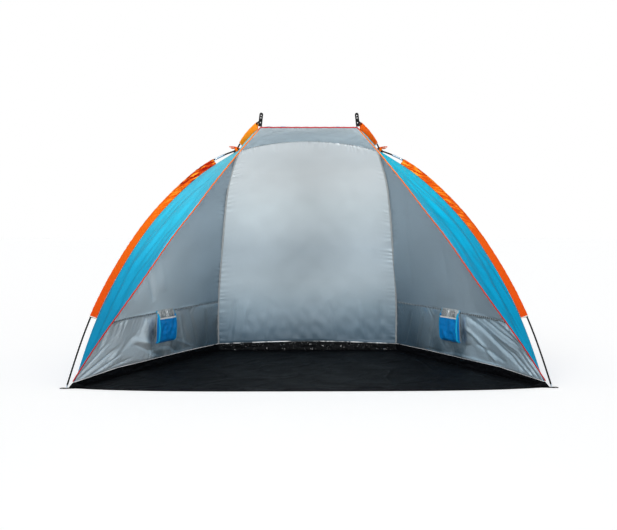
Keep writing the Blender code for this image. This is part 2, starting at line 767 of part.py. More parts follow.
def make_sleeves():
    """Make the long sleeves on the arch, and the rear and roof sleeves on the side poles."""
    rear_end = SIDE_POLE_CROSSING - REAR_SLEEVE_CLEAR
    roof_start = SIDE_POLE_CROSSING + ROOF_SLEEVE_CLEAR
    roof_end = SIDE.length - ROOF_SLEEVE_SHORT
    for side in ("left", "right"):
        sleeve(f"arch_sleeve_{side}", ARCH, ARCH_SEAM, ARCH_SLEEVE_START, ARCH_SLEEVE_END, side)
        sleeve(f"rear_sleeve_{side}", SIDE, SIDE_SEAM, REAR_SLEEVE_START, rear_end, side)
        sleeve(f"roof_sleeve_{side}", SIDE, SIDE_SEAM, roof_start, roof_end, side)


# Flat pieces: tongues, corner tabs and peg loops

def flat(name, outline, holes, thickness, look):
    """Make a flat piece from an outline and its holes."""
    curve = bpy.data.curves.new(name, "CURVE")
    curve.dimensions = "2D"
    curve.fill_mode = "BOTH"
    curve.extrude = thickness / 2
    for shape in (outline, *holes):
        line = curve.splines.new("POLY")
        line.use_cyclic_u = True
        line.points.add(len(shape) - 1)
        for spot, (x, y) in zip(line.points, shape):
            spot.co = (x, y, 0.0, 1.0)
    return add(name, curve, look)


def circle(x, y, diameter):
    """Return the points of a round hole."""
    turns = [2 * pi * i / ROUND_SIDES for i in range(ROUND_SIDES)]
    return [(x + diameter / 2 * cos(turn), y + diameter / 2 * sin(turn)) for turn in turns]


def make_tongue(side, path):
    """Make a tongue that stands on the roof's front corner, with the pole's pin in one hole."""
    forward = path.tangent(path.length)
    facing = unit(np.array([forward[0], forward[1], 0.0]))
    inward = -1.0 if side == "right" else 1.0
    level = np.cross(np.array([0.0, 0.0, 1.0]), facing)
    level = level * np.sign(level[0])
    up = level * inward * sin(TONGUE_LEAN) + np.array([0.0, 0.0, cos(TONGUE_LEAN)])
    across = np.cross(up, facing)
    half = TONGUE_WIDTH / 2
    pin = path.point(path.length)
    base = ROOF_CORNER[2] + PIPING_DIAMETER / 2 + SEAM_GAP + half * sin(TONGUE_LEAN)
    used = (pin[2] - base) / cos(TONGUE_LEAN)
    rounded = [(half * cos(turn), TONGUE_HEIGHT - half + half * sin(turn))
               for turn in np.linspace(0.0, pi, ROUND_SIDES // 2 + 1)]
    outline = [(-half, 0.0), (half, 0.0), *rounded]
    holes = [circle(0.0, used + TONGUE_PITCH * step, TONGUE_HOLE)
             for step in range(-TONGUE_HOLES_BELOW, TONGUE_HOLES_ABOVE + 1)]
    made = flat(f"tongue_{side}", outline, holes, TONGUE_THICKNESS, material("black", 0.4))
    turn = Matrix((across, up, facing)).transposed().to_4x4()
    made.matrix_world = Matrix.Translation(pin - up * used) @ turn


def corner_frame(front, side):
    """Return the floor's corner, the way its tab points, and the ways its two edges leave it."""
    if front:
        corner = FRONT_CORNER
        away = np.array([1.0, 0.0, 0.0])
        edges = (unit(REAR_CORNER - FRONT_CORNER), unit(np.array([-1.0, front_edge_slope(), 0.0])))
    else:
        corner = REAR_CORNER
        away = np.array([cos(REAR_TAB_ANGLE), sin(REAR_TAB_ANGLE), 0.0])
        edges = (np.array([-1.0, 0.0, 0.0]), unit(FRONT_CORNER - REAR_CORNER))
    if side == "left":
        return mirrored(corner), mirrored(away), [mirrored(edge) for edge in edges]
    return corner, away, edges


def front_edge_slope():
    """Return the slope of the floor's front edge beside the corner."""
    first = 1 - 2 / (len(TOP_SEAM) - 1)
    return -FLOOR_BOW * (1 - first ** BOW_SQUARENESS) / (FRONT_CORNER[0] * (1 - first))


def crossing_of(points, ways):
    """Return where two lines meet, each given by a point and a direction."""
    (ax, ay), (bx, by) = points
    (ux, uy), (vx, vy) = ways
    along = ((bx - ax) * vy - (by - ay) * vx) / (ux * vy - uy * vx)
    return (ax + ux * along, ay + uy * along)


def make_corner(place, front, side, foot):
    """Make a corner's webbing tab, with an eyelet for the pole's pin, and its peg loop."""
    corner, away, edges = corner_frame(front, side)
    across = np.array([-away[1], away[0], 0.0])
    half = WEBBING_WIDTH / 2
    gap = FLOOR_THICKNESS / 2 + SLIDING_FIT / 2
    ways = [(float(np.dot(edge, away)), float(np.dot(edge, across))) for edge in edges]
    ends = []
    for along, sideways in ways:
        clear = np.sign(sideways) * gap
        ends.append((along * half + sideways * clear, sideways * half - along * clear))
    notch = [crossing_of(ends, ways), *ends]
    upper = max(notch[1:], key=lambda spot: spot[1])
    lower = min(notch[1:], key=lambda spot: spot[1])
    eye = (float(np.dot(foot - corner, away)), float(np.dot(foot - corner, across)))
    reach = eye[0] + EYELET_DIAMETER / 2 + EYELET_MARGIN
    outline = [notch[0], upper, (reach, half), (reach, -half), lower]
    black = material("black", 0.4)
    tab = flat(f"corner_tab_{place}", outline, [circle(*eye, EYELET_DIAMETER)], WEBBING, black)
    turn = Matrix((away, across, (0.0, 0.0, 1.0))).transposed().to_4x4()
    tab.matrix_world = Matrix.Translation((corner[0], corner[1], WEBBING / 2)) @ turn
    hinge = corner + away * reach + np.array([0.0, 0.0, WEBBING])
    bevel = LOOP_BEVEL
    near = SLIDING_FIT
    shape = [(near, -half), (LOOP_REACH - bevel, -half), (LOOP_REACH, bevel - half),
             (LOOP_REACH, half - bevel), (LOOP_REACH - bevel, half), (near, half)]
    hole_start = (LOOP_REACH - LOOP_HOLE_REACH) / 2
    hole_half = LOOP_HOLE_WIDTH / 2
    hole = [(hole_start, -hole_half), (hole_start + LOOP_HOLE_REACH, -hole_half),
            (hole_start + LOOP_HOLE_REACH, hole_half), (hole_start, hole_half)]
    axis = bpy.data.objects.new(f"peg_loop_hinge_{place}", None)
    TENT.objects.link(axis)
    axis.matrix_world = Matrix.Translation(hinge) @ turn
    loop = flat(f"peg_loop_{place}", shape, [hole], WEBBING, black)
    loop.parent = axis
    loop.location = (0.0, 0.0, -WEBBING / 2)


# Ribbons

def make_ribbon(side):
    """Make a ribbon tied round the two poles where they cross, with its bow."""
    first = ARCH.point(ARCH_CROSSING)
    second = SIDE.point(SIDE_POLE_CROSSING)
    up = unit(second - first)
    one = ARCH.tangent(ARCH_CROSSING)
    other = SIDE.tangent(SIDE_POLE_CROSSING)
    forward = unit(one + other)
    across = unit(np.cross(up, forward))
    forward = np.cross(across, up)
    centre = (first + second) / 2
    lean = sqrt(max(0.0, 1 - float(np.dot(unit(one), forward)) ** 2))
    straight = float(np.dot(unit(one), forward))
    half_width = (POLE_DIAMETER / 2 + RIBBON_BAND / 2 * lean) / straight + RIBBON_FIT
    half_height = POLE_DIAMETER + SLIDING_FIT / 2 + RIBBON_FIT
    ring = []
    corner = POLE_DIAMETER / 4
    for x, y, turn in ((1, 1, 0), (-1, 1, 1), (-1, -1, 2), (1, -1, 3)):
        for step in range(3):
            angle = pi / 2 * (turn + step / 2)
            ring.append((x * (half_width - corner) + corner * cos(angle),
                         y * (half_height - corner) + corner * sin(angle)))
    points = []
    for reach in (-RIBBON_BAND / 2, RIBBON_BAND / 2):
        points += [centre + forward * reach + across * a + up * b for a, b in ring]
    if side == "left":
        points = mirrored(points)
    band = mesh_object(f"tie_ribbon_{side}", points, grid_faces(2, len(ring), around=True),
                       material("orange", 0.6))
    thicken(band, RIBBON_THICKNESS, 0.0)
    outer_offset(band, centre if side == "right" else mirrored(centre))
    seat = centre + up * (half_height + BOW_THICKNESS / 2)
    bow = []
    for a, b in bow_outline():
        for reach in (-BOW_THICKNESS / 2, BOW_THICKNESS / 2):
            bow.append(seat + across * a + forward * b + up * reach)
    if side == "left":
        bow = mirrored(bow)
    count = len(bow) // 2
    faces = [tuple(range(0, 2 * count, 2)), tuple(range(1, 2 * count, 2))[::-1]]
    for i in range(count):
        after = (i + 1) % count
        faces.append((2 * i, 2 * i + 1, 2 * after + 1, 2 * after))
    knot = mesh_object(f"bow_{side}", bow, faces, material("orange", 0.6), CUTTERS)
    cut(band, knot, "UNION")


def bow_outline():
    """Return the outline of a bow with a narrow waist."""
    far = BOW_WIDTH / 2
    tall = BOW_HEIGHT / 2
    waist = RIBBON_BAND / 4
    quarter = [(waist, waist), (far / 2, tall), (far, tall / 2)]
    right = quarter[::-1]
    return ([(a, b) for a, b in right] + [(-a, b) for a, b in quarter]
            + [(-a, -b) for a, b in right] + [(a, -b) for a, b in quarter])


def outer_offset(thing, centre):
    """Make a ring grow outwards from its centre, whichever way its faces look."""
    face = thing.data.polygons[0]
    away = np.array(face.center) - centre
    looks_out = float(np.dot(away, np.array(face.normal))) > 0
    thing.modifiers["thickness"].offset = 1.0 if looks_out else -1.0


# Pockets

def side_point(grid, u, v):
    """Return a point on a grid from its shares across and up."""
    rows, columns, _ = grid.shape
    x, y = u * (columns - 1), v * (rows - 1)
    i, j = min(int(x), columns - 2), min(int(y), rows - 2)
    a, b = x - i, y - j
    low = grid[j, i] * (1 - a) + grid[j, i + 1] * a
    high = grid[j + 1, i] * (1 - a) + grid[j + 1, i + 1] * a
    return low * (1 - b) + high * b


def pocket_frame(grid):
    """Return the hem's middle, its direction, the way down the wall and the way off the wall."""
    seam_length = float(np.linalg.norm(side_point(grid, 1.0, WALL_SEAM_SHARE)
                                       - side_point(grid, 0.0, WALL_SEAM_SHARE)))
    half_share = POCKET_WIDTH / 2 / seam_length
    front = side_point(grid, POCKET_PLACE_SHARE - half_share, WALL_SEAM_SHARE)
    back = side_point(grid, POCKET_PLACE_SHARE + half_share, WALL_SEAM_SHARE)
    along = back - front
    along[2] = 0.0
    along = unit(along)
    middle = (front + back) / 2
    down = side_point(grid, POCKET_PLACE_SHARE, 0.0) - middle
    down = unit(down - along * np.dot(down, along))
    off = np.cross(along, down)
    off = off * -np.sign(off[0])
    high = 0.0
    for u in (POCKET_PLACE_SHARE - half_share, POCKET_PLACE_SHARE, POCKET_PLACE_SHARE + half_share):
        for share in ACROSS:
            place = side_point(grid, u, WALL_SEAM_SHARE * share) - middle
            if np.dot(place, down) < POCKET_HEIGHT:
                high = max(high, float(np.dot(place, off)))
    return middle + off * high, along, down, off


def make_pocket(side, grid):
    """Make a pocket that hangs by its hem from the wall seam, open at the top."""
    middle, along, drop, out = pocket_frame(grid)
    hem = middle + out * (FABRIC / 2 + POCKET_WALL / 2 + HANGING_GAP)
    points = []
    for row in range(POCKET_ROWS + 1):
        share = row / POCKET_ROWS
        swell = POCKET_DEPTH / 2 * (1 - POCKET_SWELL_SHARE * (1 - sin(pi * share)))
        if row == POCKET_ROWS:
            swell = POCKET_DEPTH / 2 * POCKET_FOOT_SHARE
        for i in range(POCKET_SIDES):
            turn = 2 * pi * i / POCKET_SIDES
            x = np.sign(cos(turn)) * abs(cos(turn)) ** (1 / POCKET_SQUARENESS) * POCKET_WIDTH / 2
            y = np.sign(sin(turn)) * abs(sin(turn)) ** (2 / POCKET_SQUARENESS)
            forwards = (1 + y) / 2
            top = POCKET_MOUTH_DROP * forwards
            depth = top + (POCKET_HEIGHT - top) * share
            fold = POCKET_FOLD * sin(2 * pi * POCKET_FOLDS * x / POCKET_WIDTH) * forwards
            reach = swell * (1 + y) + fold * sin(pi * share)
            points.append(hem + along * x + drop * depth + out * reach)
    faces = grid_faces(POCKET_ROWS + 1, POCKET_SIDES, around=True)
    last = POCKET_ROWS * POCKET_SIDES
    half = POCKET_SIDES // 2
    for i in range(half):
        mate = (POCKET_SIDES - i) % POCKET_SIDES
        after = (POCKET_SIDES - i - 1) % POCKET_SIDES
        corners = (last + i, last + i + 1, last + after, last + mate)
        faces.append(tuple(dict.fromkeys(corners)))
    points = np.array(points)
    if side == "left":
        points = mirrored(points)
        hem = mirrored(hem)
    axis = bpy.data.objects.new(f"pocket_hinge_{side}", None)
    TENT.objects.link(axis)
    axis.location = hem
    made = mesh_object(f"pocket_{side}", points - hem, faces, material("pocket", 0.6))
    made.parent = axis
    thicken(made, POCKET_WALL, 0.0)


# The tent

make_arch_pole()
make_side_pole("right", SIDE)
make_side_pole("left", Path(mirrored(SIDE.points), SIDE_HEART))
side_panel_grid = make_panels()
make_piping()
make_floor()
make_sleeves()
make_tongue("right", SIDE)
make_tongue("left", Path(mirrored(SIDE.points), SIDE_HEART))
make_corner("front_right", True, "right", ARCH.point(0.0))
make_corner("front_left", True, "left", ARCH.point(ARCH.length))
make_corner("rear_right", False, "right", SIDE.point(0.0))
make_corner("rear_left", False, "left", mirrored(SIDE.point(0.0)))
for which in ("left", "right"):
    make_ribbon(which)
    make_pocket(which, side_panel_grid)
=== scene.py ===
"""Looks of the beach tent: cloth, poles, webbing, floor, light and camera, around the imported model."""

import json
from math import atan, ceil, cos, pi, radians, sin, tan

import bpy
import numpy as np
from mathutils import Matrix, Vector


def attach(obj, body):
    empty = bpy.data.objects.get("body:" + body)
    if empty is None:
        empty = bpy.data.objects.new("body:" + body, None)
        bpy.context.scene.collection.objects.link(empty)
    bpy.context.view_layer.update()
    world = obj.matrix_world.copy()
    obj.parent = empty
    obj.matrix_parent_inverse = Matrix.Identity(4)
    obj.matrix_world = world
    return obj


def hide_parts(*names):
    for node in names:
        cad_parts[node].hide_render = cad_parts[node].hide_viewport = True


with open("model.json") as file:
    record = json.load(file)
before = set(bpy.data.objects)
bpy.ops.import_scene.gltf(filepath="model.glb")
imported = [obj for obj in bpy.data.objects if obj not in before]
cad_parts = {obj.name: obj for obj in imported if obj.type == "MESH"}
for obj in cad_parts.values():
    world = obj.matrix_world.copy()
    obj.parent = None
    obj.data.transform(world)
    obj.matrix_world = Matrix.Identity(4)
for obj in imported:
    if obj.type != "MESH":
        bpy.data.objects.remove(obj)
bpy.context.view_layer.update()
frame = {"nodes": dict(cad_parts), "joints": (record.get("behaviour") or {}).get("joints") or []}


# Objects and nodes

def new_object(name, data):
    """Add an object to the scene."""
    made = bpy.data.objects.new(name, data)
    bpy.context.scene.collection.objects.link(made)
    return made


def aim(thing, way, axis="-Z"):
    """Turn an object so that one of its axes points along a direction."""
    thing.rotation_mode = "QUATERNION"
    thing.rotation_quaternion = Vector(way).to_track_quat(axis, "Y")


def put(tree, socket, value):
    """Link an input to an output, or set its value."""
    if isinstance(value, bpy.types.NodeSocket):
        tree.links.new(value, socket)
    else:
        socket.default_value = value


def add_node(tree, kind, sockets=(), **settings):
    """Add a node with its settings and the links or values of its inputs."""
    made = tree.nodes.new(kind)
    for key, value in settings.items():
        setattr(made, key, value)
    for key, value in dict(sockets).items():
        put(tree, made.inputs[key], value)
    return made


# Camera

PHOTO_WIDTH = 617            # pixels
PHOTO_FOCAL = 890            # pixels
VIEW_CENTRE = (308.5, 265.0)
VANISHING = (299.3, 223.5)   # where lines along +Y meet
EYE = (-0.047, -4.0, 0.744)
SENSOR = 36.0
FARTHEST = 60.0

camera_data = bpy.data.cameras.new("camera")
camera_data.sensor_width = SENSOR
camera_data.lens = PHOTO_FOCAL / PHOTO_WIDTH * SENSOR
camera_data.clip_end = FARTHEST
camera = new_object("camera", camera_data)
camera.location = EYE
turn_right, turn_down = (atan((VIEW_CENTRE[k] - VANISHING[k]) / PHOTO_FOCAL) for k in range(2))
aim(camera, (sin(turn_right) * cos(turn_down), cos(turn_right) * cos(turn_down), -sin(turn_down)))
bpy.context.scene.camera = camera


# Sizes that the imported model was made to, in metres

SPAN, DEPTH, ARCH_HEIGHT, ARCH_LEAN = 2.20, 1.20, 1.173, radians(28.0)
REAR_WIDTH, CROSSING_WIDTH = 1.046, 0.72
ROOF_FRONT_WIDTH, ROOF_FRONT_DEPTH, ROOF_FRONT_LIFT, ROOF_RISE = 0.464, 0.30, 0.032, 0.011
HEART_HEIGHT = 0.45
POLE_DIAMETER, POLE_BORE, FERRULE_WALL, SLIDING_FIT = 0.0079, 0.0051, 0.0008, 0.0003
ARCH_SECTIONS, SIDE_SECTIONS, SHOWN_JOINT = 8, 3, 3
FERRULE_LENGTH, STATION, TIP_LENGTH, SHANK_LENGTH = 0.056, 0.095, 0.016, 0.018
PIN_DIAMETER, PIN_LENGTH = 0.0045, 0.011
FABRIC, SEAM_GAP, PIPING_DIAMETER, HALF_BUTT_GAP = 0.0010, 0.0008, 0.0045, 0.00045
FLOOR_BOW, RIM_FRONT, RIM_SIDE, RIM_REAR = 0.085, 0.026, 0.045, 0.040
RIM_REAR_MIDDLE, RIM_RUN = 0.056, 0.30
STANDOFF, ROOF_STANDOFF, TONGUE_STANDOFF, RIBBON_STRETCH = 0.030, 0.020, 0.034, 0.10
ARCH_SLEEVE_START, ARCH_SLEEVE_CLEAR = 0.354, 0.036
REAR_SLEEVE_START, REAR_SLEEVE_CLEAR, ROOF_SLEEVE_CLEAR, ROOF_SLEEVE_SHORT = 0.30, 0.10, 0.065, 0.045
WALL_SEAM_SHARE = 0.20
ARCH_SHARES = (
    (1.000, 0.000), (0.932, 0.258), (0.820, 0.500), (0.722, 0.650),
    (0.590, 0.795), (0.437, 0.912), (0.220, 0.981), (0.000, 1.000),
)
REAR_SEAM_SHARES = (
    (0.000, 0.000, 0.000), (0.025, 0.058, 0.233), (0.166, 0.164, 0.466), (0.334, 0.329, 0.671),
    (0.570, 0.592, 0.855), (0.865, 0.872, 0.960), (1.000, 1.000, 1.000),
)
OPENING_SHARES = (
    (0.000, 0.000), (0.122, 0.140), (0.236, 0.259), (0.396, 0.426), (0.527, 0.566),
    (0.628, 0.661), (0.738, 0.768), (0.833, 0.855), (0.900, 0.915), (1.000, 1.000),
)
FERRULE_RADIUS = POLE_DIAMETER / 2 + SLIDING_FIT + FERRULE_WALL
LYING = FERRULE_RADIUS + FABRIC / 2 + SEAM_GAP
CLOTH = 0.0008               # thickness of the shown cloth
UP = np.array([0.0, 0.0, 1.0])
MIRROR = np.array([-1.0, 1.0, 1.0])
SIDES = (("right", 1), ("left", -1))


# Curves

def unit(vector):
    """Return vectors of length one."""
    vector = np.asarray(vector, float)
    return vector / np.maximum(np.linalg.norm(vector, axis=-1, keepdims=True), 1e-12)


def square_to(along, ways):
    """Return directions turned square to the ones along a line."""
    return unit(ways - along * np.sum(ways * along, axis=1, keepdims=True))


def rows_at(wanted, at, rows):
    """Return rows in between the given ones, on straight lines."""
    return np.column_stack([np.interp(wanted, at, rows[:, k]) for k in range(3)])


def lengths_along(points):
    """Return the distance of each point from the first, along the points."""
    return np.concatenate(([0.0], np.cumsum(np.linalg.norm(np.diff(points, axis=0), axis=1))))


def spline(at, values, wanted):
    """Return values of the natural cubic curve through the given ones."""
    values = np.asarray(values, float)
    gaps = np.diff(at)
    count = len(at)
    system = np.eye(count)
    right = np.zeros_like(values)
    for i in range(1, count - 1):
        system[i, i - 1:i + 2] = gaps[i - 1], 2 * (gaps[i - 1] + gaps[i]), gaps[i]
        right[i] = 6 * ((values[i + 1] - values[i]) / gaps[i]
                        - (values[i] - values[i - 1]) / gaps[i - 1])
    bends = np.linalg.solve(system, right.reshape(count, -1)).reshape(values.shape)
    i = np.clip(np.searchsorted(at, wanted, side="right") - 1, 0, count - 2)
    shape = (-1,) + (1,) * (values.ndim - 1)
    gap = gaps[i].reshape(shape)
    share = ((wanted - np.asarray(at)[i]) / gaps[i]).reshape(shape)
    rest = 1 - share
    sag = (rest ** 3 - rest) * bends[i] + (share ** 3 - share) * bends[i + 1]
    return rest * values[i] + share * values[i + 1] + sag * gap ** 2 / 6


def evenly(at, values, cells):
    """Return values in even steps on the natural cubic curve through the given ones."""
    return spline(at, values, np.linspace(0.0, at[-1], cells + 1))


def finer_line(line, cells):
    """Return a line as a smooth curve in even steps."""
    return evenly(lengths_along(line), line, cells)


def smooth(points, cells):
    """Return evenly spaced points on a natural cubic curve through the given points."""
    knots = np.array(points, float)
    at = lengths_along(knots)
    fine_at = [np.linspace(a, b, 40, endpoint=False) for a, b in zip(at, at[1:])]
    fine = spline(at, knots, np.concatenate(fine_at + [at[-1:]]))
    along = lengths_along(fine)
    return rows_at(np.linspace(0.0, along[-1], cells + 1), along, fine)


class Path:
    """A centre line with an outward direction at each point."""

    def __init__(self, points, heart):
        self.points = np.array(points, float)
        self.along = lengths_along(self.points)
        self.length = self.along[-1]
        self.heart = np.array(heart, float)
        self.forwards = unit(np.gradient(self.points, self.along, axis=0))
        self.aways = square_to(self.forwards, self.points - self.heart)

    def blend(self, values, distance):
        return rows_at(np.atleast_1d(distance), self.along, values)

    def point(self, distance):
        return self.blend(self.points, distance)[0]

    def tangent(self, distance):
        return unit(self.blend(self.forwards, distance)[0])

    def outward(self, distance):
        return unit(self.blend(self.aways, distance)[0])

    def stretch(self, start, end):
        """Return the points between two places, with both places."""
        inside = [d for d in self.along if start + SEAM_GAP < d < end - SEAM_GAP]
        return self.blend(self.points, [start, *inside, end])

    def distance_where(self, axis, value):
        """Return the first distance at which a coordinate passes a value."""
        at = self.points[:, axis]
        signs = np.sign(at - value)
        i = int(np.argmax(signs[1:] != signs[:-1]))
        share = (value - at[i]) / (at[i + 1] - at[i])
        return self.along[i] + share * (self.along[i + 1] - self.along[i])

    def finer(self, step=0.006):
        """Return the path as a smooth curve through its points, in short steps."""
        return Path(finer_line(self.points, ceil(self.length / step)), self.heart)


def cells_along(length):
    """Return how many station steps a length takes."""
    return max(2, ceil(length / STATION))


# Skeleton of the tent, right half

def arch_point(width_share, height_share):
    """Return a point of the leaning arch from its shares."""
    height = ARCH_HEIGHT * height_share
    return (SPAN / 2 * width_share, height * tan(ARCH_LEAN), height)


ARCH_HEART = (0.0, HEART_HEIGHT * tan(ARCH_LEAN), HEART_HEIGHT)
half_arch = np.array([arch_point(*shares) for shares in ARCH_SHARES])
whole_arch = np.vstack([half_arch, half_arch[-2::-1] * MIRROR])
ARCH_CELLS = ARCH_SECTIONS * cells_along(lengths_along(whole_arch)[-1] / ARCH_SECTIONS)
ARCH = Path(smooth(whole_arch, ARCH_CELLS), ARCH_HEART)
ARCH_CROSSING = ARCH.distance_where(0, CROSSING_WIDTH / 2 + LYING / 2)
ARCH_SECTION = (ARCH.length - 2 * TIP_LENGTH) / ARCH_SECTIONS
ARCH_SLEEVE_END = TIP_LENGTH + ARCH_SECTION * SHOWN_JOINT - ARCH_SLEEVE_CLEAR


def inside_arch(distance):
    """Return the point of the arch seam beside a place on the pole."""
    near = min(distance, ARCH.length - distance)
    off = float(np.interp(near, (ARCH_SLEEVE_END, ARCH_CROSSING), (STANDOFF, LYING)))
    return ARCH.point(distance) - ARCH.outward(distance) * off


ARCH_SEAM = Path([inside_arch(d) for d in ARCH.along], ARCH_HEART)
SEAM_START = ARCH_SEAM.distance_where(2, RIM_FRONT + 2 * FABRIC)
SEAM_CROSSING = ARCH_SEAM.distance_where(0, CROSSING_WIDTH / 2)
CROSSING = ARCH_SEAM.point(SEAM_CROSSING)
FRONT_CORNER = np.array([SPAN / 2 - STANDOFF, 0.0, 0.0])
REAR_CORNER = np.array([REAR_WIDTH / 2, DEPTH, 0.0])
REAR_LOW = REAR_CORNER + UP * RIM_REAR
ROOF_CORNER = np.array([ROOF_FRONT_WIDTH / 2, ROOF_FRONT_DEPTH, ARCH_HEIGHT + ROOF_FRONT_LIFT])
LOW_SEAM = ARCH_SEAM.stretch(SEAM_START, SEAM_CROSSING)
WALL_ROWS = len(LOW_SEAM) - 1
TOP_SEAM = ARCH_SEAM.stretch(SEAM_CROSSING, ARCH_SEAM.length - SEAM_CROSSING)
REAR_KNOTS = [REAR_LOW + (CROSSING - REAR_LOW) * np.array(shares) for shares in REAR_SEAM_SHARES]
REAR_SEAM = smooth(REAR_KNOTS, WALL_ROWS)
ROOF_SEAM = smooth([CROSSING, (CROSSING + ROOF_CORNER) / 2 + UP * ROOF_RISE, ROOF_CORNER],
                   cells_along(float(np.linalg.norm(ROOF_CORNER - CROSSING))))
SIDE_HEART = (0.0, DEPTH / 2, HEART_HEIGHT)
SIDE_SEAM = Path(np.vstack([REAR_SEAM, ROOF_SEAM[1:]]), SIDE_HEART)
SIDE_CROSSING = SIDE_SEAM.along[WALL_ROWS]


def side_pole():
    """Return the side pole's centre line, from its foot to the tongue."""
    over_arch = unit(np.cross(ARCH.tangent(ARCH_CROSSING), SIDE_SEAM.tangent(SIDE_CROSSING)))
    over_arch = over_arch * np.sign(over_arch[2])
    lift = ARCH.point(ARCH_CROSSING) + over_arch * (POLE_DIAMETER + SLIDING_FIT) - CROSSING
    places = (0.0, SIDE_CROSSING - RIBBON_STRETCH, SIDE_CROSSING, SIDE_CROSSING + RIBBON_STRETCH,
              SIDE_SEAM.length)
    offsets = (STANDOFF, STANDOFF, 0.0, ROOF_STANDOFF, TONGUE_STANDOFF)
    points = []
    for distance, place, away in zip(SIDE_SEAM.along, SIDE_SEAM.points, SIDE_SEAM.aways):
        near = max(0.0, 1.0 - abs(distance - SIDE_CROSSING) / RIBBON_STRETCH)
        upright = np.interp(distance, places[3:], (0.0, 1.0))
        away = unit(away * (1 - upright) + UP * upright)
        points.append(place + away * np.interp(distance, places, offsets) + lift * near)
    down = points[0] - points[1]
    return Path([points[0] + down * (points[0][2] / -down[2]), *points], SIDE_HEART)


SIDE = side_pole()
SIDE_POLE_CROSSING = float(SIDE.along[WALL_ROWS + 1])
ARCH_FINE, SIDE_FINE = ARCH.finer(), SIDE.finer()


def between(first, last, shares):
    """Return points on the straight line between two points."""
    return np.array([first + (last - first) * share for share in shares])


def patch(left, right, bottom, top):
    """Fill four edges with a grid: left and right run up, bottom and top run from left to right."""
    v = np.linspace(0.0, 1.0, len(left))[:, None, None]
    u = np.linspace(0.0, 1.0, len(bottom))[None, :, None]
    ruled = (1 - u) * left[:, None] + u * right[:, None] + (1 - v) * bottom[None] + v * top[None]
    corners = ((1 - u) * (1 - v) * bottom[0] + u * (1 - v) * bottom[-1]
               + (1 - u) * v * top[0] + u * v * top[-1])
    return ruled - corners


def finer_grid(grid, rows, columns):
    """Return a smooth grid through the given one, with even steps along its mean row and column."""
    grid = evenly(lengths_along(grid.mean(axis=1)), grid, rows)
    at = lengths_along(grid[len(grid) // 2])
    return np.swapaxes(evenly(at, np.swapaxes(grid, 0, 1), columns), 0, 1)


def rim_height(distance):
    """Return the height of the side rim at a distance behind the front corner."""
    heights = (RIM_FRONT, RIM_SIDE, RIM_SIDE, RIM_REAR)
    return np.interp(distance, (0.0, RIM_RUN, DEPTH - RIM_RUN, DEPTH), heights)


def side_rim(shares):
    """Return the top of the right side rim, from the front corner to the rear corner."""
    line = between(FRONT_CORNER, REAR_CORNER, shares)
    return line + UP * rim_height(line[:, 1])[:, None]


def rear_rim(shares):
    """Return the top of the rear rim, from the right corner to the left."""
    shares = np.asarray(shares)
    line = between(REAR_CORNER, REAR_CORNER * MIRROR, shares)
    return line + UP * (RIM_REAR + (RIM_REAR_MIDDLE - RIM_REAR) * np.sin(pi * shares))[:, None]


def opening_edge():
    """Return the edge of the opening, from the front corner to the roof's front corner."""
    start = FRONT_CORNER + UP * (RIM_FRONT + PIPING_DIAMETER)
    way = ROOF_CORNER - start
    places = [start + way * np.array([a, b, b]) for a, b in OPENING_SHARES]
    return smooth(places, len(LOW_SEAM) + len(ROOF_SEAM) - 2)


SHARES_9 = np.linspace(0.0, 1.0, 9)
rim = side_rim(SHARES_9)
rim[0] = LOW_SEAM[0]
SIDE_GRID = patch(LOW_SEAM, REAR_SEAM, rim, np.repeat(CROSSING[None], 9, axis=0))
wing_seam, wing_edge = np.vstack([LOW_SEAM, ROOF_SEAM[1:]]), opening_edge()
WING_GRID = patch(wing_seam, wing_edge, between(wing_seam[0], wing_edge[0], SHARES_9),
                  between(wing_seam[-1], wing_edge[-1], SHARES_9))
TOP_SHARES = np.linspace(0.0, 1.0, len(TOP_SEAM))
REAR_GRID = patch(REAR_SEAM, REAR_SEAM * MIRROR, rear_rim(TOP_SHARES), TOP_SEAM)
FRONT_EDGE = between(ROOF_CORNER, ROOF_CORNER * MIRROR, TOP_SHARES)
ROOF_GRID = patch(ROOF_SEAM, ROOF_SEAM * MIRROR, TOP_SEAM, FRONT_EDGE)


# Places in the photograph, and heights of folds

def photo_place(points):
    """Return where points show in the photograph, in pixels."""
    scale = PHOTO_FOCAL / (points[..., 1] - EYE[1])
    return np.stack([VANISHING[0] + (points[..., 0] - EYE[0]) * scale,
                     VANISHING[1] - (points[..., 2] - EYE[2]) * scale], axis=-1)


def fold(grid, x, y, to_x, to_y, width, height):
    """Return the height of a fold between two places of the photograph; the width is in pixels."""
    seen = photo_place(grid) - np.array((x, y))
    way = np.array((to_x - x, to_y - y), float)
    length = float(np.linalg.norm(way))
    along = seen @ way / length ** 2
    off = (seen[..., 0] * way[1] - seen[..., 1] * way[0]) / length / width
    return height * np.exp(-off ** 2) * np.clip(1 - (2 * along - 1) ** 4, 0.0, 1.0)


def step_up(x):
    """Rise smoothly from 0 at 0 to 1 at 1."""
    x = np.clip(x, 0.0, 1.0)
    return x * x * (3 - 2 * x)


def ripple(u, v, size, seed, waves=22):
    """Return smooth noise of about 1 in height, with features of a size."""
    pick = np.random.default_rng(seed)
    total = np.zeros(np.broadcast(u, v).shape)
    draws = [pick.uniform(low, high, waves) for low, high in ((0, 2 * pi), (0.6, 1.5), (0, 2 * pi))]
    for turn, rate, phase in zip(*draws):
        total += np.sin((u * cos(turn) + v * sin(turn)) * 2 * pi * rate / size + phase)
    return total / (waves / 2) ** 0.5


def runs(grid, axis):
    """Return how far each point of a grid is from its first row or column, along the grid."""
    steps = np.linalg.norm(np.diff(grid, axis=axis), axis=2)
    return np.insert(np.cumsum(steps, axis=axis), 0, 0.0, axis=axis)


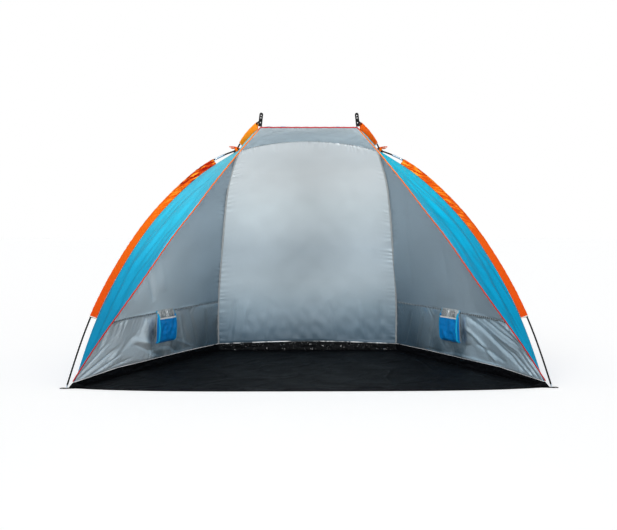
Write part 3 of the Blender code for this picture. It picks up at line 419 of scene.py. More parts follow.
class Cloth:
    """A grid of points with the distances to its four edges, and heights that folds add to it."""

    def __init__(self, grid):
        self.grid = grid
        self.left, self.bottom = runs(grid, 1), runs(grid, 0)
        self.right = self.left[:, -1:] - self.left
        self.top = self.bottom[-1:] - self.bottom
        middle = grid.shape[1] // 2
        self.u = self.left - self.left[:, -1:] / 2
        self.v = np.broadcast_to(self.bottom[:, middle:middle + 1], self.u.shape)
        self.uvs = np.stack((self.u, self.v), axis=-1).reshape(-1, 2)
        self.rows_share = np.linspace(0, 1, grid.shape[0])[:, None] + 0 * self.u
        self.columns_share = np.linspace(0, 1, grid.shape[1])[None] + 0 * self.u
        self.height = np.zeros(self.u.shape)
        self.width = float(self.left[:, -1].max())
        self.length = float(self.bottom[-1].max())
        cells = np.cross(grid[1:, 1:] - grid[:-1, :-1], grid[1:, :-1] - grid[:-1, 1:])
        self.area = float(np.linalg.norm(cells, axis=2).sum() / 2)

    def gather(self, edge, along, size, reach, height, seed):
        """Add small puckers that start at a seam and fade away from it."""
        wave = np.sin(2 * pi * along / size + 2.2 * ripple(along, edge * 0.25, size * 5, seed))
        strength = 0.55 + 0.45 * ripple(along, 0, size * 9, seed + 1)
        self.height += height * strength * wave * np.exp(-edge / reach) * (1 - np.exp(-edge / 0.004))

    def waves(self, *sorts):
        """Add smooth noise, each sort with its height, size and seed."""
        for height, size, seed in sorts:
            self.height += height * ripple(self.u, self.v, size, seed)

    def fold(self, folds):
        """Add folds, each with its two ends, width and height."""
        for one in folds:
            self.height += fold(self.grid, *one)

    def held(self, room):
        """Let the heights fade to nothing at the four edges."""
        for edge in (self.left, self.right, self.bottom, self.top):
            self.height *= step_up(edge / room)

    def points(self, inside):
        """Return the grid with its heights added along its normals, away from the inside."""
        normals = unit(np.cross(np.gradient(self.grid, axis=1), np.gradient(self.grid, axis=0)))
        way = np.sum(normals * (self.grid - np.array(inside)), axis=2).mean()
        self.out = normals * np.sign(way)
        self.final = self.grid + self.out * self.height[..., None]
        return self.final


# Materials

WHITE = (1.0, 1.0, 1.0, 1.0)


def tone(code):
    """Return the linear colour of a six-digit code."""
    parts = [int(code[i:i + 2], 16) / 255 for i in (0, 2, 4)]
    return tuple(((p + 0.055) / 1.055) ** 2.4 if p > 0.04045 else p / 12.92 for p in parts) + (1.0,)


def grey(level):
    """Return a grey colour."""
    return (level, level, level, 1.0)


class Look:
    """A node material being built."""

    def __init__(self, name, uv="cloth"):
        self.material = bpy.data.materials.new(name)
        self.material.use_nodes = True
        self.tree = self.material.node_tree
        self.shader = self.tree.nodes["Principled BSDF"]
        self.uv = self.add("ShaderNodeUVMap", uv_map=uv).outputs["UV"] if uv else None
        self.normal = None

    def add(self, kind, sockets=(), **settings):
        return add_node(self.tree, kind, sockets, **settings)

    def math(self, operation, first, second):
        return self.add("ShaderNodeMath", {0: first, 1: second}, operation=operation).outputs[0]

    def times(self, first, second):
        return self.math("MULTIPLY", first, second)

    def frame_place(self):
        """Return places in the shared frame."""
        return self.add("ShaderNodeTexCoord").outputs["Object"]

    def place(self, axis):
        """Return one coordinate in the shared frame."""
        return self.add("ShaderNodeSeparateXYZ", {0: self.frame_place()}).outputs[axis]

    def spread(self, value, low, high):
        """Return a value stretched so that low and high become 0 and 1."""
        sockets = {"Value": value, "From Min": low, "From Max": high}
        return self.add("ShaderNodeMapRange", sockets).outputs[0]

    def within(self, value, low, high):
        """Return a value from 0 to 1 brought between two levels."""
        sockets = {0: value, 1: high - low, 2: low}
        return self.add("ShaderNodeMath", sockets, operation="MULTIPLY_ADD").outputs[0]

    def ramp(self, factor, *stops, soft=False):
        made = self.add("ShaderNodeValToRGB", {"Fac": factor})
        made.color_ramp.interpolation = "EASE" if soft else "LINEAR"
        stop_list = made.color_ramp.elements
        while len(stop_list) < len(stops):
            stop_list.new(0.5)
        for element, (place, colour) in zip(stop_list, stops):
            element.position = place
            element.color = colour
        return made.outputs[0]

    def mix(self, factor, first, second, blend="MIX"):
        sockets = {0: factor, 6: first, 7: second}
        return self.add("ShaderNodeMix", sockets, data_type="RGBA", blend_type=blend).outputs[2]

    def tint(self, base, colour):
        return self.mix(1.0, base, colour, "MULTIPLY")

    def texture(self, at, size, detail, distortion):
        sockets = {"Vector": at, "Scale": 1 / size, "Detail": detail, "Distortion": distortion}
        return self.add("ShaderNodeTexNoise", sockets).outputs[0]

    def noise(self, size, detail=3.0, squeeze=(1, 1, 1), distortion=0.0, vector=None):
        at = self.add("ShaderNodeMapping", {"Vector": vector or self.uv, "Scale": squeeze}).outputs[0]
        return self.texture(at, size, detail, distortion)

    def streaks(self, size, turn, stretch):
        """Return noise drawn out into slanting streaks."""
        sockets = {"Vector": self.uv, "Rotation": (0, 0, radians(turn)), "Scale": (1.0, stretch, 1.0)}
        at = self.add("ShaderNodeMapping", sockets, vector_type="TEXTURE").outputs[0]
        return self.texture(at, size, 1.0, 0.25)

    def bands(self, way, at, pitch, distortion, detail=2.0, detail_scale=1.0):
        """Return waves across a direction."""
        sockets = {"Vector": at, "Scale": pi / 10 / pitch, "Distortion": distortion, "Detail": detail,
                   "Detail Scale": detail_scale}
        return self.add("ShaderNodeTexWave", sockets, bands_direction=way).outputs[1]

    def bump(self, height, distance, strength=1.0):
        sockets = {"Height": height, "Distance": distance, "Strength": strength}
        if self.normal:
            sockets["Normal"] = self.normal
        self.normal = self.add("ShaderNodeBump", sockets).outputs[0]

    def shade_spot(self, centre, radius, least):
        """Return a painted shade that darkens round a place on both sides of the tent."""
        cloud = self.noise(0.05, 3.0, distortion=0.8)
        at = self.add("ShaderNodeVectorMath", {0: self.frame_place()}, operation="ABSOLUTE").outputs[0]
        far = self.add("ShaderNodeVectorMath", {0: at, 1: centre}, operation="DISTANCE").outputs["Value"]
        far = self.math("ADD", far, self.times(self.math("SUBTRACT", cloud, 0.5), radius * 1.1))
        dark = (least * 0.82, least * 0.97, least * 1.06, 1)
        half = tuple((1 + c) / 2 for c in dark)
        return self.ramp(self.spread(far, 0.0, radius), (0.15, dark), (0.55, half), (1.0, WHITE))

    def done(self, colour, roughness, **sockets):
        """Join the last inputs to the shader and return the material."""
        sockets.update(base_color=colour, roughness=roughness)
        if self.normal:
            sockets["normal"] = self.normal
        for key, value in sockets.items():
            name = key.replace("_", " ").title().replace("Ior", "IOR")
            put(self.tree, self.shader.inputs[name], value)
        return self.material


def fabric(name, stops, axis="Z", span=(0.0, 1.2), rough=(0.42, 0.6), weave=0.0011, crease=0.0015,
           crease_size=0.05, mottle=0.10, shade=None, shade_spots=(), wrinkles=(), gathers=None, painted_glints=None,
           sides=None, **sockets):
    """Return a woven fabric whose colour follows a ramp along an axis, with mottling, creases and a weave.

    Shade paints shade towards the low rear, shade spots paint it round places, and sides paint light and
    shade away from the middle.
    Wrinkles are slanting streaks of painted shade and highlight between heights, gathers are bands with
    painted shade, and glints are painted white specks.
    """
    look = Look(name)
    stops = [(at, tone(code)) for at, code in stops.items()]
    base = look.ramp(look.spread(look.place(axis), *span), *stops)
    if shade:
        # Painted shade: darker and bluer towards the low rear.
        near, far, least = shade
        rear, low = look.spread(look.place("Y"), near, far), look.spread(look.place("Z"), 0.75, 0.05)
        dark = (least * 0.72, least * 0.97, least * 1.16, 1)
        base = look.tint(base, look.ramp(look.times(rear, low), (0.0, WHITE), (1.0, dark)))
    cloud = look.noise(0.16, 4.0, distortion=0.6)
    # Painted shade round given places.
    for shade_spot in shade_spots:
        base = look.tint(base, look.shade_spot(*shade_spot))
    # Wrinkles paint shade in their troughs and highlights on their ridges, as well as a bump.
    for size, turn, stretch, crease_shade, crease_highlight, (low, full, fade, gone) in wrinkles:
        high = look.place("Z")
        strength = look.times(look.spread(high, low, full), look.spread(high, gone, fade))
        lines = look.streaks(size, turn, stretch)
        for (first, last), code in (((0.53, 0.42), crease_shade), ((0.57, 0.67), crease_highlight)):
            base = look.mix(look.times(look.spread(lines, first, last), strength), base, tone(code))
        look.bump(look.times(lines, strength), size * 0.3)
    if gathers:
        # Painted shade in the troughs of the gathers, besides their bump.
        way, pitch, crease_shade, crease_highlight = gathers
        bands = look.bands(way, look.uv, pitch, 1.5, 2.0, 1.5)
        base = look.tint(base, look.ramp(bands, (0.15, grey(crease_shade)), (0.85, grey(crease_highlight))))
        look.bump(bands, pitch * 0.25)
    if painted_glints:
        # Painted glints: white specks where the noise is high.
        size, low, high = painted_glints
        painted_glint_mask = look.noise(size, 4.0, squeeze=(0.6, 1.6, 1), distortion=1.5)
        base = look.mix(look.spread(painted_glint_mask, low, high), base, WHITE)
    if sides:
        # Painted light and shade: the tone changes from the middle towards the sides.
        half, centre, edge = sides
        away = look.spread(look.math("ABSOLUTE", look.place("X"), 0.0), 0.0, half)
        base = look.tint(base, look.ramp(away, (0.0, grey(centre)), (1.0, grey(edge)), soft=True))
    fine = look.noise(0.012, 2.0, squeeze=(1, 2.2, 1))
    patches = look.spread(look.math("ADD", look.times(cloud, 0.8), look.times(fine, 0.2)), 0.3, 0.7)
    threads = [look.bands(way, look.uv, weave, 0.4, 1.0) for way in "XY"]
    threads = look.math("MAXIMUM", *threads)
    for height, least, most in ((patches, 1 - mottle, 1 + mottle), (threads, 0.88, 1.04)):
        base = look.tint(base, look.ramp(height, (0.0, grey(least)), (1.0, grey(most))))
    look.bump(look.noise(crease_size, 5.0, distortion=1.2), crease)
    look.bump(look.noise(0.009, 3.0, squeeze=(1, 1.8, 1), distortion=0.5), crease * 0.14)
    look.bump(threads, weave * 0.22, 0.6)
    return look.done(base, look.within(look.spread(cloud, 0.2, 0.8), *rough), **sockets)


def webbing_look(name, light, dark, pitch, rough):
    """Return a ribbed, woven tape."""
    look = Look(name, uv=None)
    at = look.frame_place()
    rib = look.times(*[look.bands(way, at, pitch, 0.6) for way in "XY"])
    cloud = look.noise(0.012, 3.0, vector=at)
    look.bump(rib, pitch * 0.3, 0.8)
    look.bump(cloud, 0.0004)
    colour = look.mix(look.times(rib, cloud), tone(dark), tone(light))
    return look.done(colour, rough, specular_ior_level=0.12)


def hard_look(name, light, dark, rough, size=0.0006, bump=0.00005, uv=None, stretch=(1, 1, 1), **sockets):
    """Return a hard surface with fine streaks or grain and small changes of gloss."""
    look = Look(name, uv=uv)
    at = look.uv or look.frame_place()
    grain = look.noise(size, 4.0, squeeze=stretch, vector=at)
    wear = look.noise(size * 12, 3.0, vector=at)
    look.bump(grain, bump)
    colour = look.mix(look.spread(wear, 0.35, 0.7), tone(dark), tone(light))
    return look.done(colour, look.within(grain, *rough), **sockets)


# The silver looks below stand for the same silver cloth; the tones in which they differ are painted light
# and shade.
PAINTED_LIGHT_ACROSS = dict(axis="X", span=(-1.1, 1.1))
# The rear panel is darker towards the bottom and lighter towards the top: painted shade and painted light.
# Its middle is darker than its sides: painted light and shade.
silver = fabric("silver_inside",
                {0.03: "465B6A", 0.10: "5F7584", 0.20: "8497A3", 0.34: "A8B6BE", 0.5: "AEBBC3",
                 0.7: "CBD5D9", 0.85: "E2E8EA", 1: "E2E8EB"},
                rough=(0.40, 0.52), crease=0.0007, crease_size=0.09, mottle=0.025, metallic=0.12,
                sides=(0.40, 0.87, 1.12))
# The roof is lighter at the front by the opening and darker towards the rear seam: painted light and shade.
roof_silver = fabric("silver_roof", {0: "DCE6EB", 0.5: "C6D6DF", 1: "B8CAD4"}, axis="Y", span=(0.30, 0.66),
                     rough=(0.40, 0.52), crease=0.0009, mottle=0.03, metallic=0.12)
# The walls are lighter at the left front than on the right: painted light.
wall_silver = fabric("silver_wall",
                     {0: "CCDCE4", 0.14: "C6D6DF", 0.24: "AABCC8", 0.34: "9CAEBA", 0.7: "9EB0BC",
                      1: "9EB0BC"},
                     rough=(0.34, 0.46), crease=0.0009, crease_size=0.07, mottle=0.03, metallic=0.25,
                     shade=(0.60, 1.05, 0.30), **PAINTED_LIGHT_ACROSS)
# Painted shade round the pockets, where hollows in the cloth would mirror the dark floor: centre, radius
# and least brightness.
POCKET_SHADE_SPOTS = (((0.795, 0.575, 0.180), 0.085, 0.22), ((0.780, 0.620, 0.055), 0.120, 0.42),
                 ((0.700, 0.790, 0.060), 0.120, 0.50))
# The band below the wall seam is lighter on the left than on the right: painted light.
band_silver = fabric("silver_band", {0: "E0ECF2", 0.25: "D4E2EA", 0.7: "B0C6D4", 1: "BACEDA"},
                     rough=(0.26, 0.38), crease=0.0022, mottle=0.06, metallic=0.5, shade=(0.56, 1.02, 0.21),
                     shade_spots=POCKET_SHADE_SPOTS, **PAINTED_LIGHT_ACROSS)
# The outside blue is lighter towards the top: painted light.
outside_blue = fabric("blue_outside", {0: "1478B4", 1: "2C9CD2"}, sheen_weight=0.3, sheen_roughness=0.4)
# The blue is the wings' own; the rise to pale cyan towards the top and the left wing being lighter than the
# right are painted light.
WING_LIT_TONES = {
    "left": {0: "0C82AA", 0.25: "0E7CA2", 0.45: "1694BA", 0.65: "2EB4D4", 0.8: "46BCDA", 0.92: "70CCDE",
             1: "90D4DE"},
    "right": {0: "0C8FB4", 0.25: "0484AC", 0.45: "068EB6", 0.65: "08A2C8", 0.8: "12B8DA", 0.92: "18D0EE",
              1: "60D6EC"},
}
wing_blue_painted_light = {side: fabric(f"wing_blue_painted_light_{side}", tones, rough=(0.42, 0.55), crease=0.0009, mottle=0.06,
                          specular_ior_level=0.05) for side, tones in WING_LIT_TONES.items()}
# The orange is the sleeves' own; red-orange low and light orange high is painted light, the dark red band
# near the top of the left sleeve is painted shade, and left and right are lit and shaded copies. Each
# wrinkle row: size, turn, stretch, tone of its painted shade, tone of its painted highlight, and the
# heights where it starts, is full, fades and is gone.
SLEEVE_LIT_TONES = {
    "left": ({0: "D23E00", 0.35: "D24A02", 0.7: "D86204", 0.76: "D86404", 0.82: "C44400", 0.88: "B43000",
              0.9: "F48C14", 1: "F48C14"},
             ((0.0080, 32, 8.0, "CC4A00", "EE8A20", (0.76, 0.88, 0.96, 1.02)),
              (0.0085, 16, 9.0, "8C1000", "F49A28", (0.88, 0.95, 1.09, 1.12)))),
    "right": ({0: "D23E00", 0.35: "D24A02", 0.7: "CA5002", 0.86: "DC6A04", 0.9: "EE6A02", 0.95: "EE5E00",
               1: "EE5E00"},
              ((0.0080, 32, 8.0, "BE3C00", "EE8A20", (0.66, 0.84, 1.0, 1.06)),
               (0.0100, 14, 10.0, "B42C00", "F49A28", (0.92, 1.0, 1.07, 1.12)))),
}
sleeve_orange_painted_light = {side: fabric(f"sleeve_orange_painted_light_{side}", tones, rough=(0.45, 0.6), crease=0.0010,
                              crease_size=0.03, mottle=0.08, wrinkles=wrinkles, specular_ior_level=0.08)
                 for side, (tones, wrinkles) in SLEEVE_LIT_TONES.items()}
HEM = dict(crease=0.0004, crease_size=0.01)
TAPE = dict(crease=0.0005, crease_size=0.008, weave=0.0007)
hem_pale = fabric("hem_pale", {0: "D9CFC6", 1: "DCD8D2"}, **HEM)
# Its tone changes along the height, red low and orange higher up: painted light.
piping_look = fabric("piping_cloth",
                     {0: "B41C12", 0.3: "C02E08", 0.5: "CC4600", 0.75: "D66200", 0.985: "DC7200",
                      1: "A01C24"},
                     crease=0.0003, crease_size=0.008, weave=0.0007, specular_ior_level=0.05)
floor_black = fabric("floor_black", {0: "06070A", 1: "06070A"}, rough=(0.50, 0.75), weave=0.0013,
                     crease=0.003, crease_size=0.06, mottle=0.35, specular_ior_level=0.07)
pocket_blue = fabric("pocket_blue", {0: "0A74BC", 0.14: "0B7AC2", 0.3: "0E84CC", 1: "0E84CC"},
                     rough=(0.4, 0.55), crease=0.0012, crease_size=0.02, specular_ior_level=0.12)
pocket_edge = fabric("pocket_edge", {0: "14A0D0", 0.2: "1EB0DC", 1: "0E74B4"}, weave=0.0007,
                     specular_ior_level=0.12, **HEM)
# The pocket's back paints shade in the troughs of its gathers.
pocket_silver = fabric("pocket_silver", {0: "D2D8DB", 1: "E6EAEC"}, rough=(0.4, 0.55), crease=0.003,
                       crease_size=0.012, mottle=0.2, metallic=0.2, gathers=("X", 0.0115, 0.45, 1.0))
pocket_hem = fabric("pocket_hem", {0: "DCDAD6", 1: "F0EEEA"}, **HEM)
# The rear seam tape is darker towards the bottom: painted shade, as on the rear panel.
seam_grey = fabric("seam_tape", {0: "8A8F91", 0.4: "989DA0", 0.8: "B4B8B8", 1: "C4C6C4"}, **TAPE)
seam_light = fabric("seam_light", {0: "CCD4D8", 1: "E2E7E9"}, **TAPE)
# The wall seam's dark dots are painted shade of its puckers; the tape itself is pale grey.
seam_shaded_puckers = fabric("seam_shaded_puckers", {0: "A0AEB6", 1: "A8B4BC"}, gathers=("Y", 0.0165, 0.10, 1.0), **TAPE)
# The rear rim's white specks and the rim edge's white patches are painted glints.
rim_black = fabric("rim_black", {0: "0C0E10", 1: "0C0E10"}, rough=(0.45, 0.65), weave=0.0013, crease=0.006,
                   crease_size=0.016, mottle=0.3, specular_ior_level=0.1, painted_glints=(0.0095, 0.67, 0.70))
rim_edge = fabric("rim_edge", {0: "555D63", 1: "555D63"}, rough=(0.4, 0.5), specular_ior_level=0.2,
                  painted_glints=(0.15, 0.42, 0.56), **HEM)
ribbon_look = fabric("ribbon_tape", {0: "EE5E00", 1: "F66E02"}, crease=0.0003, crease_size=0.006,
                     weave=0.0008, specular_ior_level=0.08)
thread_orange = hard_look("thread_orange", "E0622A", "B8481C", (0.5, 0.7))
thread_dark = hard_look("thread_dark", "4E5860", "363E44", (0.5, 0.7))
thread_pale = hard_look("thread_pale", "C9CFD2", "AEB6BA", (0.5, 0.7))
pole_black = hard_look("pole_black", "0E0F11", "070809", (0.36, 0.5), 0.0008, uv="cloth",
                       stretch=(1, 0.05, 1), specular_ior_level=0.15)
metal = hard_look("ferrule_metal", "B9C6D2", "98A6B4", (0.22, 0.34), uv="cloth", stretch=(1, 0.03, 1),
                  metallic=1.0)
clip_black = hard_look("clip_black", "101113", "08090A", (0.42, 0.58), bump=0.00008,
                       specular_ior_level=0.15)
elastic_look = webbing_look("cord_elastic", "D5D4CE", "8F8F8A", 0.0009, 0.75)
webbing_black = webbing_look("webbing_black", "1C1E21", "08090A", 0.0014, 0.62)


# Meshes

def make_piece(name, points, faces, uvs, looks, indices, body, nodes):
    """Make a mesh piece with a UV map in metres, put it on its body and hide what it stands for."""
    data = bpy.data.meshes.new(name)
    data.from_pydata(points.tolist(), [], [list(face) for face in faces])
    layer = data.uv_layers.new(name="cloth")
    corners = np.empty(len(data.loops), np.int32)
    data.loops.foreach_get("vertex_index", corners)
    layer.data.foreach_set("uv", uvs[corners].astype(np.float32).ravel())
    for look in looks:
        data.materials.append(look)
    data.polygons.foreach_set("material_index", np.asarray(indices, np.int32))
    data.polygons.foreach_set("use_smooth", np.ones(len(data.polygons), bool))
    data.update()
    made = new_object(name, data)
    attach(made, body)
    if nodes:
        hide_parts(*nodes)
    return made


def plain_piece(name, points, faces, uvs, look, nodes=(), body="shelter"):
    """Make a piece with one look."""
    return make_piece(name, points, faces, uvs, [look], np.zeros(len(faces)), body, nodes)


def shell(name, points, quads, uvs, looks, inside=None, thickness=CLOTH, body="shelter",
          nodes=(), marks=None, marked_outside=True):
    """Make a closed thin shell.

    The first look is on the inner side and the second on the outer side. Marks from 1 give faces the
    third look and so on, on both sides unless the outside is left unmarked.
    """
    points = np.asarray(points, float)
    quads = np.asarray(quads)
    corners = points[quads]
    crossings = np.cross(corners[:, 2] - corners[:, 0], corners[:, 3] - corners[:, 1])
    normals = np.zeros_like(points)
    for corner in range(4):
        np.add.at(normals, quads[:, corner], crossings)
    normals = unit(normals)
    if inside is not None and np.sum(normals * (points - np.array(inside))) < 0:
        quads, normals = quads[:, ::-1], -normals
    count = len(points)
    both = np.vstack((points + normals * thickness / 2, points - normals * thickness / 2))
    edges = np.vstack([quads[:, (k, (k + 1) % 4)] for k in range(4)])
    owners = np.tile(np.arange(len(quads)), 4)
    keys = np.sort(edges, axis=1) @ np.array([count + 1, 1])
    _, first, uses = np.unique(keys, return_index=True, return_counts=True)
    lone = first[uses == 1]
    rims = np.column_stack((edges[lone, 1], edges[lone, 0], edges[lone, 0] + count, edges[lone, 1] + count))
    marks = np.zeros(len(quads), int) if marks is None else np.asarray(marks)
    outer = np.where((marks > 0) & marked_outside, marks + 1, 1)
    inner = np.where(marks > 0, marks + 1, 0)
    indices = np.concatenate((outer, inner, outer[owners[lone]]))
    faces = np.vstack((quads, quads[:, ::-1] + count, rims))
    return make_piece(name, both, faces, np.vstack((uvs, uvs)), looks, indices, body, nodes)


def grid_quads(rows, columns, around=False):
    """Return the faces of a grid of points, closed across its columns if it goes around."""
    j, i = np.meshgrid(np.arange(rows - 1), np.arange(columns if around else columns - 1), indexing="ij")
    after = (i + 1) % columns
    corners = (j * columns + i, j * columns + after, (j + 1) * columns + after, (j + 1) * columns + i)
    return np.stack(corners, axis=-1).reshape(-1, 4)


def grid_uvs(across, along):
    """Return the UV places of a grid of points."""
    return np.stack(np.meshgrid(across, along), axis=-1).reshape(-1, 2)


def declare(width, length, area):
    """Round the size of flat cloth a piece was cut from; the numbers are not kept."""
    width, length = round(width, 3), round(length, 3)
    area = round(min(area, width * length), 4)


def cloth_piece(name, cloth, looks, node, marks=None, marked_outside=True):
    """Make a piece from a cloth's grid and its heights."""
    points = cloth.points(INSIDE).reshape(-1, 3)
    made = shell(name, points, grid_quads(*cloth.u.shape), cloth.uvs, looks, inside=INSIDE,
                 nodes=(node,), marks=marks, marked_outside=marked_outside)
    declare(cloth.width, cloth.length, cloth.area)


def crosswise(line, ups):
    """Return the directions across a line."""
    return np.cross(unit(np.gradient(line, axis=0)), ups)


def sweep(name, line, ups, ring, look, nodes=(), body="shelter"):
    """Sweep a closed ring of (across, up) places along a line."""
    line = np.asarray(line, float)
    ups = square_to(unit(np.gradient(line, axis=0)), ups)
    across = crosswise(line, ups)
    points = (line[:, None] + across[:, None] * ring[:, :1] + ups[:, None] * ring[:, 1:]).reshape(-1, 3)
    corners = len(ring)
    faces = [tuple(face) for face in grid_quads(len(line), corners, around=True)[:, ::-1]]
    faces += [tuple(range(corners)), tuple(range(len(points) - 1, len(points) - corners - 1, -1))]
    uvs = grid_uvs(lengths_along(ring), lengths_along(line))
    return plain_piece(name, points, faces, uvs, look, nodes, body)


def round_ring(radius, corners=16, flat=1.0):
    """Return a round or flattened ring."""
    turns = np.arange(corners) * 2 * pi / corners
    return np.column_stack((radius * np.cos(turns), radius * flat * np.sin(turns)))


def band_ring(width, thickness, corners=3):
    """Return a flat ring with rounded edges."""
    half, r = width / 2 - thickness / 2, thickness / 2
    turns = np.linspace(-pi / 2, pi / 2, corners + 2)
    right = [(half + r * cos(t), r * sin(t)) for t in turns]
    across = [(x, r) for x in np.linspace(half, -half, 5)[1:-1]]
    left = [(-half - r * cos(t), -r * sin(t)) for t in turns]
    back = [(x, -r) for x in np.linspace(-half, half, 5)[1:-1]]
    return np.array(right + across + left + back)


STITCH = np.array([(0, 2, 1), (0, 3, 2), (0, 4, 3), (0, 1, 4), (5, 1, 2), (5, 2, 3), (5, 3, 4), (5, 4, 1)])

# Kinds of stitches: how far they stand off, pitch, length and width
ROOF_STITCH, ROOF_FRONT_STITCH = (0.0013, 0.0170, 0.0100, 0.0030), (0.0004, 0.0130, 0.0070, 0.0030)
REAR_STITCH, REAR_OUTER_STITCH = (0.0009, 0.0042, 0.0030, 0.0009), (0.0008, 0.0064, 0.0060, 0.0030)
WALL_STITCH, BINDING_STITCH = (0.0010, 0.0150, 0.0078, 0.0028), (0.0008, 0.0042, 0.0030, 0.0008)


def stitches(name, line, ups, look, kind):
    """Make a row of thread stitches along a line."""
    off, pitch, length, width = kind
    at = lengths_along(line)
    along = unit(np.gradient(line, axis=0))
    stops = np.arange(pitch, at[-1] - pitch, pitch)
    centre, forward, up = (rows_at(stops, at, rows) for rows in (line, along, square_to(along, ups)))
    forward, up = unit(forward), unit(up)
    ways = [forward * length / 2, np.cross(forward, up) * width / 2, up * width / 2]
    centre = centre + up * off
    corners = np.stack((centre - ways[0], centre + ways[1], centre + ways[2], centre - ways[1],
                        centre - ways[2], centre + ways[0]), axis=1)
    faces = (STITCH + 6 * np.arange(len(stops))[:, None, None]).reshape(-1, 3)
    points = corners.reshape(-1, 3)
    plain_piece(name, points, faces, np.zeros((len(points), 2)), look)


# Cloth panels

INSIDE = (0.0, 0.45, 0.35)

# Rows of folds: first and last place in the photograph and width in pixels, height in metres
WALL_FOLDS = {
    "left": (
        (132, 340, 172, 351, 3.0, -0.010), (134, 344, 160, 356, 1.8, 0.007),
        (150, 320, 143, 346, 4.5, -0.013), (192, 352, 178, 306, 1.6, 0.009),
        (198, 350, 189, 306, 1.3, 0.006), (206, 346, 203, 308, 1.2, 0.006),
        (185, 350, 181, 312, 1.3, -0.006), (76, 382, 116, 348, 0.8, 0.007),
        (78, 384, 122, 353, 0.7, 0.006), (74, 380, 110, 342, 0.7, 0.005),
        (82, 381, 130, 358, 0.7, 0.005), (90, 377, 138, 361, 0.7, 0.005),
        (104, 362, 138, 334, 2.6, 0.006), (186, 356, 168, 346, 1.6, 0.006),
        (112, 322, 98, 354, 1.8, 0.005), (128, 340, 108, 362, 1.8, -0.006),
        (146, 352, 166, 344, 1.6, 0.006), (196, 348, 176, 340, 1.4, -0.005),
        (148, 262, 154, 303, 3.2, 0.011), (160, 262, 163, 292, 3.0, -0.004),
        (132, 300, 150, 270, 3.0, 0.005),
    ),
    "right": (
        (466, 315, 518, 362, 1.4, 0.013), (472, 316, 522, 354, 0.9, -0.006),
        (480, 316, 522, 348, 1.1, 0.009), (490, 317, 516, 338, 1.2, 0.008),
        (476, 322, 520, 358, 0.7, 0.004), (486, 316, 524, 346, 0.7, 0.004),
        (461, 320, 498, 364, 1.3, -0.008), (466, 318, 470, 346, 3.4, -0.013),
        (526, 352, 546, 381, 0.7, 0.006), (520, 350, 543, 382, 0.7, 0.005),
        (514, 352, 538, 380, 0.7, 0.006), (532, 360, 548, 382, 0.8, 0.006),
        (508, 352, 530, 376, 0.9, 0.005), (404, 346, 412, 310, 1.4, 0.005),
        (418, 350, 424, 312, 1.4, -0.005), (430, 352, 436, 314, 1.4, 0.005),
        (476, 344, 508, 364, 1.5, 0.007), (498, 318, 526, 346, 1.1, -0.006),
        (448, 354, 486, 364, 1.6, -0.006), (426, 348, 444, 354, 1.4, 0.005),
        (402, 180, 412, 300, 3.5, 0.004), (440, 240, 452, 300, 3.5, 0.003),
    ),
}
WING_FOLDS = {
    "left": (
        (226, 166, 150, 268, 4.0, 0.008), (216, 172, 140, 272, 3.0, -0.006),
        (232, 160, 170, 236, 2.4, -0.005), (129, 262, 86, 356, 2.6, -0.009),
        (138, 258, 96, 344, 2.2, 0.006), (118, 280, 82, 352, 2.0, 0.006),
        (123, 300, 98, 340, 1.8, -0.006), (206, 176, 128, 272, 2.2, 0.004),
        (196, 190, 160, 230, 1.8, -0.004), (100, 330, 78, 368, 1.6, -0.005),
        (230, 162, 176, 226, 1.0, 0.003), (228, 164, 168, 232, 0.9, -0.003),
        (224, 170, 160, 244, 1.0, 0.003), (118, 268, 94, 318, 0.8, 0.004),
        (112, 280, 90, 328, 0.8, -0.004),
    ),
    "right": (
        (392, 164, 470, 262, 4.0, 0.007), (402, 172, 480, 262, 3.0, -0.006),
        (386, 158, 446, 230, 2.4, -0.005), (487, 262, 532, 352, 2.6, -0.009),
        (478, 258, 524, 348, 2.2, 0.006), (498, 280, 534, 350, 2.0, 0.006),
        (492, 300, 520, 340, 1.8, -0.006), (410, 176, 492, 270, 2.2, 0.004),
        (420, 190, 456, 230, 1.8, -0.004), (516, 326, 538, 366, 1.6, -0.005),
        (388, 160, 440, 224, 1.0, 0.003), (392, 164, 452, 236, 0.9, -0.003),
        (398, 170, 464, 250, 1.0, 0.003), (489, 258, 516, 300, 0.8, 0.004),
        (494, 268, 524, 318, 0.8, -0.004), (500, 284, 528, 330, 0.7, 0.004),
    ),
}
SIDE_ROWS, SIDE_COLUMNS = 240, 190
SEAM_ROW = round(SIDE_ROWS * WALL_SEAM_SHARE)
CUT_ROWS = 4                 # left off where the side panel ends in a point


def joint_place(name):
    """Return the place of a joint."""
    return next(joint["pos_m"] for joint in frame["joints"] if joint["name"] == name)


